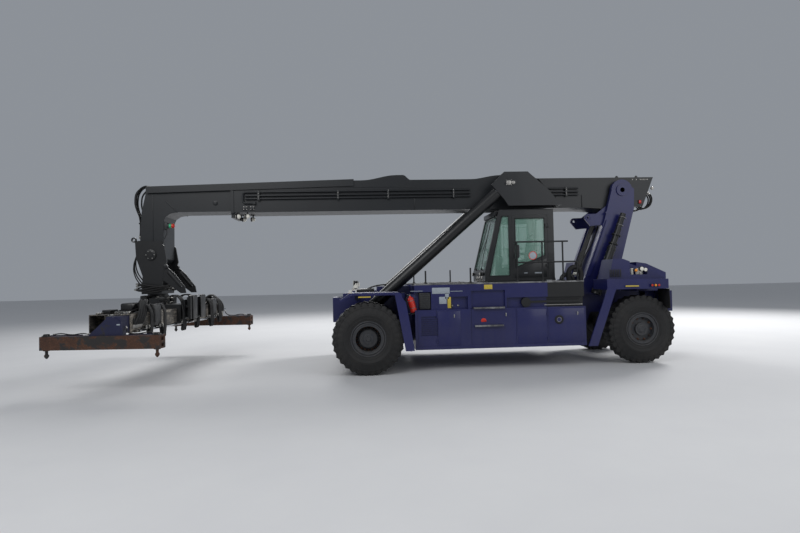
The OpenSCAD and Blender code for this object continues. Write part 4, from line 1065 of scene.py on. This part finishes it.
group("pivot_cap")
cap = [turned((-6540, 590, 4270), [(-1, 150), (12, 150), (16, 142), (18, 96), (26, 92), (30, 60)], body_blue,
    sides=48),
    bolts(circle_of((-6540, 601, 4270), 122, 8, 0.3), "Y", 1, 13, 14, zinc)]
both(joined(cap))
print("boom dressed")

# %% [markdown]
# Tower: the hoses that run up to the boom's pivot.

# %% Tower and lifting eye
group("tower_hoses")
tower_hoses = [hose([(-5480, y, 2120), (-5700, y, 2700), (-5990, y, 3400), (-6300, y, 3900), (-6420, y, 4020)],
    17, hose_rubber) for y in (-120, -70, -20, 30, 80, 130)]
tower_hoses += [hose([(-5500, y, 2110), (-5600, y, 2480), (-5860, y, 2950), (-6150, y, 3700)], 13, hose_rubber)
    for y in (-220, 220)]
joined(tower_hoses)

group("lifting_eye_rings")
collars = [ring((-5662, 512, 3586), 62, 9, body_blue, flat=0.5, sides=40)]
both(joined(collars))
print("tower dressed")

# %% [markdown]
# Head and yoke: hoses leave the tray, loop forward of the head and drop to the slewing head.
# A signal lamp shows the locks' state, and pins have keepers.

# %% Boom head and yoke
head_x = 5250
loops = []

group("head_hoses", "boom_extension")
for k, y in enumerate((120, 165, 210, 255, -150, -210)):
    out = 18 * (k % 3)
    loops.append(hose([(5320, y, 4545), (5440, y, 4560 - out * 0.4), (5600 + out, y, 4440),
        (5665 + out, y, 4200), (5640 + out * 0.6, y, 3980), (5575, y, 3780), (5560, y, 3500), (5575, y, 3260)],
        17, hose_rubber))
joined(loops)

group("head_clamps", "boom_extension")
clamp = [block((5478, 100, z), (5592, 275, z + 36), black_paint, 6) for z in (3300, 3620)]
clamp += [block((5478, -230, z), (5592, -130, z + 36), black_paint, 6) for z in (3300, 3620)]
joined(clamp)

group("signal_lamp", "boom_extension")
signal = [block((4870, 250, 3470), (4950, 390, 3640), black_plastic, 10),
    turned((4872, 350, 3560), [(0, 62), (40, 62), (44, 56)], black_plastic, "X", -1, 28),
    turned((4830, 350, 3560), [(0, 54), (44, 54), (60, 40)], green_lens, "X", -1, 28),
    turned((4768, 350, 3560), [(0, 54), (48, 52), (64, 30)], signal_red, "X", -1, 28),
    hose([(4900, 350, 3470), (4890, 352, 3380), (4925, 350, 3300), (4948, 330, 3250)], 8, hose_rubber,
        ends=False)]
joined(signal)
inner_side = 395

group("boom_boss", "boom_extension")
boss = [turned((3697, inner_side, 4102), [(0, 60), (10, 60), (14, 46), (24, 42), (26, 22)], boom_charcoal,
    sides=36)]
both(joined(boss))

group("head_gusset", "boom_extension")
weld = [plate([(4600, 3890), (4620, 3870), (4900, 4160), (4890, 4180)], inner_side, inner_side + 10,
    boom_charcoal, 3),
    plate([(5200, 4480), (5214, 4480), (5214, 2720), (5200, 2720)], inner_side - 2, inner_side + 9,
        boom_charcoal, 3)]
both(joined(weld))

group("yoke_pin_plate", "head_yoke")
pin_plate = [turned((head_x, 470, 2850), [(-2, 132), (12, 132), (16, 122), (18, 60), (26, 54)], black_paint,
    sides=40),
    bolts(circle_of((head_x, 480, 2850), 98, 6), "Y", 1, 13, 14, zinc)]
both(joined(pin_plate))

group("damper_rods", "head_yoke")
dampers = [hose([(4830, 424, 2430), (4700, 424, 2270), (4520, 424, 2060)], 24, rod_chrome, ends=False),
    turned((4905, 424, 2560), [(-50, 52), (50, 52), (54, 40)], black_paint, sides=28)]
both(joined(dampers))
drops = []

group("yoke_hoses", "head_yoke")
for k, (y, z) in enumerate(((-330, 2700), (-230, 2760), (230, 2760), (310, 2700), (360, 2640))):
    drops.append(hose([(5560, y * 0.6, z + 330), (5640, y * 0.8, z + 180), (5690, y, z - 60),
        (5660, y, z - 300), (5560, y, z - 480), (5470, y * 0.9, z - 600)], 15, hose_rubber))
for k, y in enumerate((-300, -180, 180, 280, 340)):
    drops.append(hose([(5440, y, 2120), (5540, y, 2040 + 16 * k), (5330, y * 0.8, 2120 + 12 * k),
        (5080, y, 2060 + 14 * k), (4960, y * 1.05, 2000)], 14, hose_rubber))
for k in range(6):
    reach, z = 512 + 18 * (k % 3), 1975 + 27 * k
    wrap = [(head_x + reach * math.cos(a), reach * math.sin(a), z + 34 * math.sin(3 * a + k))
        for a in [0.55 + 0.06 * k + 0.4 * step for step in range(6)]]
    drops.append(hose(wrap, 19, hose_rubber))
    drops.append(hose([(x, -y, z) for x, y, z in wrap], 19, hose_rubber))
joined(drops)
print("head dressed")

# %% [markdown]
# Spreader. It stands turned six degrees, so its pieces are placed across (u), along (v) and up.
# The slewing head carries motors, valve blocks and hoses that drape over the rear tube; the
# tubes carry the cylinders, and the end beams their twistlocks.

# %% Slewing head and spreader
spreader_turn = math.radians(-6)
spreader_x, slew_u = 5000, 249
tube_edge = 434
lock_u, lock_v, beam_v = 1129, 2939, 3029


def sp(u, v, z):
    """A place on the turned spreader, in millimetres from the drive axle."""
    return (spreader_x + u * math.cos(spreader_turn) - v * math.sin(spreader_turn),
            u * math.sin(spreader_turn) + v * math.cos(spreader_turn), z)


def sp_block(low, high, material, bevel=6):
    middle = [(a + b) / 2 for a, b in zip(low, high)]
    half_size = [(b - a) / 2 for a, b in zip(low, high)]
    place = sp(*middle)
    return block([p - h for p, h in zip(place, half_size)], [p + h for p, h in zip(place, half_size)], material,
        bevel, (0, 0, spreader_turn))


def sp_hose(points, radius, material, ends=True):
    return hose([sp(*p) for p in points], radius, material, ends)


head_parts = []

group("slew_motors", "slewing_head")
for v in (-350, 350):
    place = sp(slew_u + 170, v, 0)
    head_parts += [turned((place[0], place[1], 1826),
        [(0, 98), (10, 104), (22, 104), (26, 84), (34, 60), (36, 30)], black_paint, "Z", 1, 32),
        bolts([(place[0] + 88 * math.cos(a), place[1] + 88 * math.sin(a), 1847)
            for a in (0.3, 1.35, 2.4, 3.45, 4.5, 5.55)], "Z", 1, 9, 10, zinc)]
joined(head_parts)
valves = []

group("valve_blocks", "slewing_head")
for v in (-350, 350):
    for k in range(4):
        valves.append(sp_block((-14, v - 118 + k * 62, 1700), (60, v - 70 + k * 62, 1812), black_paint,
            8))
        place = sp(60, v - 94 + k * 62, 1780)
        valves.append(turned(place, [(0, 20), (34, 20), (38, 15), (60, 15), (64, 10)], zinc, "X", 1, 18))
joined(valves)
guards = []

group("head_guards", "slewing_head")
for v in (-240, 240):
    guards += [sp_block((-792, v - 128, 1270), (-772, v + 128, 1850), black_paint, 8),
        sp_block((-706, v - 128, 1830), (-690, v + 128, 1846), zinc, 4),
        sp_block((-700, v - 90, 1300), (-610, v + 90, 1800), black_plastic, 22)]
joined(guards)
drapes = []

group("draped_hoses", "slewing_head")
for v in (-420, -360, -300, 300, 350, 400, 450):
    lean = 30 if v > 0 else -30
    drapes.append(sp_hose([(-150, v * 0.8, 1780), (-300, v * 0.9, 1850), (-470, v, 1790),
        (-575, v + lean, 1560), (-600, v + lean * 1.5, 1250), (-585, v + lean * 1.2, 1060),
        (-560, v + lean, 1010), (-548, v + lean * 0.6, 1120), (-545, v, 1230)], 17, hose_rubber))
for k, v in enumerate((-250, -190, 190, 250)):
    drapes.append(sp_hose([(120, v, 1810), (180 + 20 * k, v * 1.5, 1850), (420, v * 1.8, 1800),
        (560, v * 1.7, 1640), (600, v * 1.6, 1450), (548, v * 1.5, 1290)], 15, hose_rubber))
for k in range(7):
    a = 0.4 + k * 0.9
    b = a + 1.3
    r1, r2 = 300, 330 + 12 * (k % 3)
    mid = lambda angle, r, z: (slew_u + r * math.cos(angle), r * math.sin(angle), z)
    drapes.append(sp_hose([mid(a, r1, 1650), mid(a + 0.3, r2, 1730 + 10 * k), mid((a + b) / 2, r2 + 20, 1770),
        mid(b, r2, 1690), mid(b + 0.1, r1, 1640)], 13, hose_rubber))
joined(drapes)

# %% Spreader tubes
tubes = []

group("shift_cylinders", "spreader")
for side_u in (-1, 1):
    u = side_u * (tube_edge + 32)
    for v1, v2 in ((-2420, -1300), (-1290, 0), (10, 1290), (1300, 2420)):
        tubes.append(sp_hose([(u, v1, 1171), (u, (v1 + v2) / 2, 1171), (u, v2 - 60, 1171)], 31, rod_chrome,
            ends=False))
        tubes.append(sp_block((u - 34, v2 - 62, 1140), (u + 30, v2 - 6, 1204), black_paint, 8))
joined(tubes)
pipes = []

group("spreader_pipes", "spreader")
for u, z, r in ((-330, 1548, 19), (-280, 1546, 17), (-60, 1500, 22), (0, 1500, 22), (60, 1500, 18),
    (300, 1546, 17)):
    for v1, v2 in ((1340, 2600), (-2600, -1340)):
        pipes.append(sp_hose([(u, v1, z), (u, (v1 + v2) / 2, z + 2), (u, v2, z)], r,
            rod_chrome if r > 18 else zinc))
for v in (1400, 1750, 2100, 2450, -1400, -1750, -2100, -2450):
    pipes.append(sp_block((-360, v - 22, 1526), (-240, v + 22, 1570), black_paint, 6))
    pipes.append(sp_block((-96, v - 22, 1470), (96, v + 22, 1524), black_paint, 6))
joined(pipes)
clutter = []

group("end_hoses", "spreader")
for end in (1, -1):
    for k in range(6):
        u0 = -380 + 55 * k
        clutter.append(sp_hose([(u0, end * 1380, 1560), (u0 - 30, end * 1480, 1640 + 14 * (k % 3)),
            (u0 - 60, end * 1750, 1665), (u0 - 40 + 20 * k, end * 2050, 1630 - 10 * k),
            (u0 + 30, end * 2330, 1600), (u0 + 40, end * 2560, 1556)], 16, hose_rubber))
    for k in range(7):
        v = end * (1640 + 52 * k)
        clutter.append(sp_hose([(-250, v, 1560), (-330, v + end * 110, 1770 + 9 * (k % 3)),
            (-430, v + end * 300, 1760 - 12 * k), (-500 - 8 * (k % 2), v + end * 480, 1520),
            (-486, v + end * 590, 1350), (-440, v + end * 620, 1240)], 17, hose_rubber))
    for first, low in ((1345, 960), (1960, 1035)):
        for k in range(4):
            v = end * (first + 40 * k)
            clutter.append(sp_hose([(-330, v, 1560), (-440, v, 1690), (-530 - 7 * k, v, 1600),
                (-562 - 6 * k, v, 1330), (-560 - 6 * k, v + end * 24, low + 90), (-540, v + end * 30, low),
                (-512, v + end * 16, low + 70), (-474, v, 1250)], 18, hose_rubber))
    v1, v2 = sorted((end * 1520, end * 1850))
    clutter += [sp_block((-540, v1, 1236), (-tube_edge, v2, 1700), black_paint, 16),
        sp_block((-552, v1 + 30, 1300), (-538, v2 - 30, 1660), black_plastic, 6),
        sp_block((-330, min(end * 1900, end * 2380), 1560), (-70, max(end * 1900, end * 2380), 1745),
            black_paint, 40)]
    clutter += [sp_block((-390, end * 1900 - 130, 1526), (-190, end * 1900 + 130, 1650), black_paint, 14),
        sp_block((-tube_edge - 40, end * 2480 - 70, 1300), (-tube_edge, end * 2480 + 70, 1440), black_plastic,
            14),
        sp_block((150, end * 2200 - 160, 1526), (330, end * 2200 + 160, 1610), black_paint, 14)]
joined(clutter)

group("tube_bands", "spreader")
stiffeners = [sp_block((-tube_edge - 6, v - 30, 1146), (-tube_edge + 2, v + 30, 1530), dusty, 3)
    for v in (-2590, -2130, -1700, 1700, 2130, 2590)]
stiffeners += [sp_block((tube_edge - 2, v - 30, 1146), (tube_edge + 6, v + 30, 1530), dusty, 3)
    for v in (-2590, -2130, -1700, 1700, 2130, 2590)]
joined(stiffeners)

# %% End beams and twistlocks
def end_beam(name, body, s):
    """What an end beam carries: lock housings, lock heads, edge plates and a hose loop."""
    group(name, body)
    parts = []
    for u in (-lock_u, lock_u):
        place = sp(u, s * lock_v, 0)
        spot = (place[0], place[1])
        parts += [turned((*spot, 860), [(0, 66), (-6, 66), (-16, 58), (-20, 40)], rusty, "Z", 1, 32),
            turned((*spot, 748), [(30, 29), (8, 44), (-20, 44), (-40, 30), (-62, 12)], rusty, "Z", 1, 6),
            turned((*spot, 1130), [(0, 84), (14, 84), (18, 60), (46, 56), (50, 40)], black_paint, "Z", 1, 32),
            bolts([(spot[0] + 68 * math.cos(a), spot[1] + 68 * math.sin(a), 1144)
                for a in (0.8, 2.37, 3.94, 5.5)], "Z", 1, 10, 12, zinc)]
    v1, v2 = sorted((s * (beam_v - 250), s * beam_v))
    for u in (-1216, 1204):
        parts.append(sp_block((u, v1 + 14, 868), (u + 12, v2 - 14, 882), rusty, 3))
    parts.append(sp_block((-1130, v1 + 10, 1129), (-470, v1 + 24, 1146), rusty, 3))
    parts.append(sp_block((470, v1 + 10, 1129), (1130, v1 + 24, 1146), rusty, 3))
    v = s * 2850
    parts.append(sp_hose([(-1050, v, 1160), (-900, v, 1176), (-650, v, 1150), (-480, v, 1190),
        (-430, s * 2800, 1300)], 12, hose_rubber))
    parts.append(sp_hose([(1050, v, 1160), (900, v, 1176), (650, v, 1150), (440, v, 1170),
        (330, s * 2800, 1150)], 12, hose_rubber))
    tag = sorted((s * 2977, s * 2983))
    parts.append(sp_block((-400, tag[0], 1330), (-330, tag[1], 1356), blank_plate, 2))
    return joined(parts)


end_beam("end_beam_left", "left_arm", 1)
end_beam("end_beam_right", "right_arm", -1)
print("spreader dressed")

# %% [markdown]
# Under and behind the machine: the drive axle's differential, steering rods, seam strips, lamps
# and a grille on the counterweight, and fittings along the deck.

# %% Underside, rear and deck
rods = []

group("steering_rods")
for s in (1, -1):
    rods += [hose([(-6680, s * 380, 800), (-6676, s * 600, 800), (-6670, s * 800, 800)], 28, zinc),
        turned((-6670, s * 805, 800), [(-44, 30), (-30, 42), (30, 42), (44, 30)], black_paint, "Z", 1, 24)]
rods.append(hose([(-6680, -390, 800), (-6680, 0, 800), (-6680, 390, 800)], 62, black_paint, ends=False))
joined(rods)

group("differential")
housing = [turned((330, 0, 810), [(-40, 150), (0, 232), (40, 246), (90, 226), (130, 170), (150, 96)],
    axle_black, "X", 1, 40),
    bolts([(352, 214 * math.sin(a), 810 + 214 * math.cos(a)) for a in [k * math.pi / 6 for k in range(12)]],
        "X", 1, 13, 16, zinc)]
joined(housing)
back_x = -7450

group("rear_fittings")
rear = [block((back_x - 12, -880, 2000), (back_x + 4, 880, 2016), body_blue, 4),
    block((back_x - 12, -880, 1240), (back_x + 4, 880, 1256), body_blue, 4)]
for s in (1, -1):
    rear += [turned((back_x, s * 760, 1850), [(-2, 74), (20, 74), (28, 66)], black_plastic, "X", -1, 32),
        turned((back_x, s * 760, 1850), [(20, 62), (32, 56), (38, 30)], red_lens, "X", -1, 32),
        turned((back_x, s * 580, 1850), [(-2, 56), (18, 56), (24, 50)], black_plastic, "X", -1, 32),
        turned((back_x, s * 580, 1850), [(18, 46), (28, 42), (34, 20)], amber, "X", -1, 32)]
joined(rear)

group("rear_grille")
grille = [block((back_x - 10, -420, z), (back_x + 6, 420, z + 22), black_paint, 5)
    for z in range(1400, 1900, 52)]
grille += [block((back_x - 14, y - 14, 1370), (back_x + 4, y + 14, 1930), body_blue, 5) for y in (-440, 0, 440)]
joined(grille)
deck_rows = []
for x in range(-4900, -1300, 300):
    if not -4800 < x < -2800:
        deck_rows += [(x, y, 2000) for y in (-1540, 1540)]

group("deck_bolts")
joined([bolts(deck_rows, "Z", 1, 13, 10, zinc)])
hatches = []

group("deck_hatches")
for s in (1, -1):
    y1, y2 = sorted((s * 820, s * 1500))
    hatches.append(block((-2680, y1, 1999), (-1520, y2, 2012), deck_plate, 5))
    hatches += [block((x, s * 1160 - 60, 2011), (x + 24, s * 1160 + 60, 2034), zinc, 8) for x in (-2600, -1620)]
joined(hatches)

group("front_hoses")
platform = [hose([(-900, y, 1955), (-600, y, 1990), (-200, y, 1960), (100, y, 1850), (300, y, 1806)], 16,
    hose_rubber) for y in (-300, -240, -180, 180, 240, 300)]
platform += [block((-180, -420, 1799), (260, -120, 1900), black_paint, 16),
    block((-180, 120, 1799), (260, 420, 1900), black_paint, 16)]
joined(platform)

group("cover_rail")
strip_rail = hose([(-4140, 1490, 1440), (-4600, 1490, 1439), (-5060, 1490, 1437)], 14, zinc)
both(strip_rail)
print("underside and deck dressed")

# %% Leave nothing selected
bpy.ops.object.select_all(action="DESELECT")
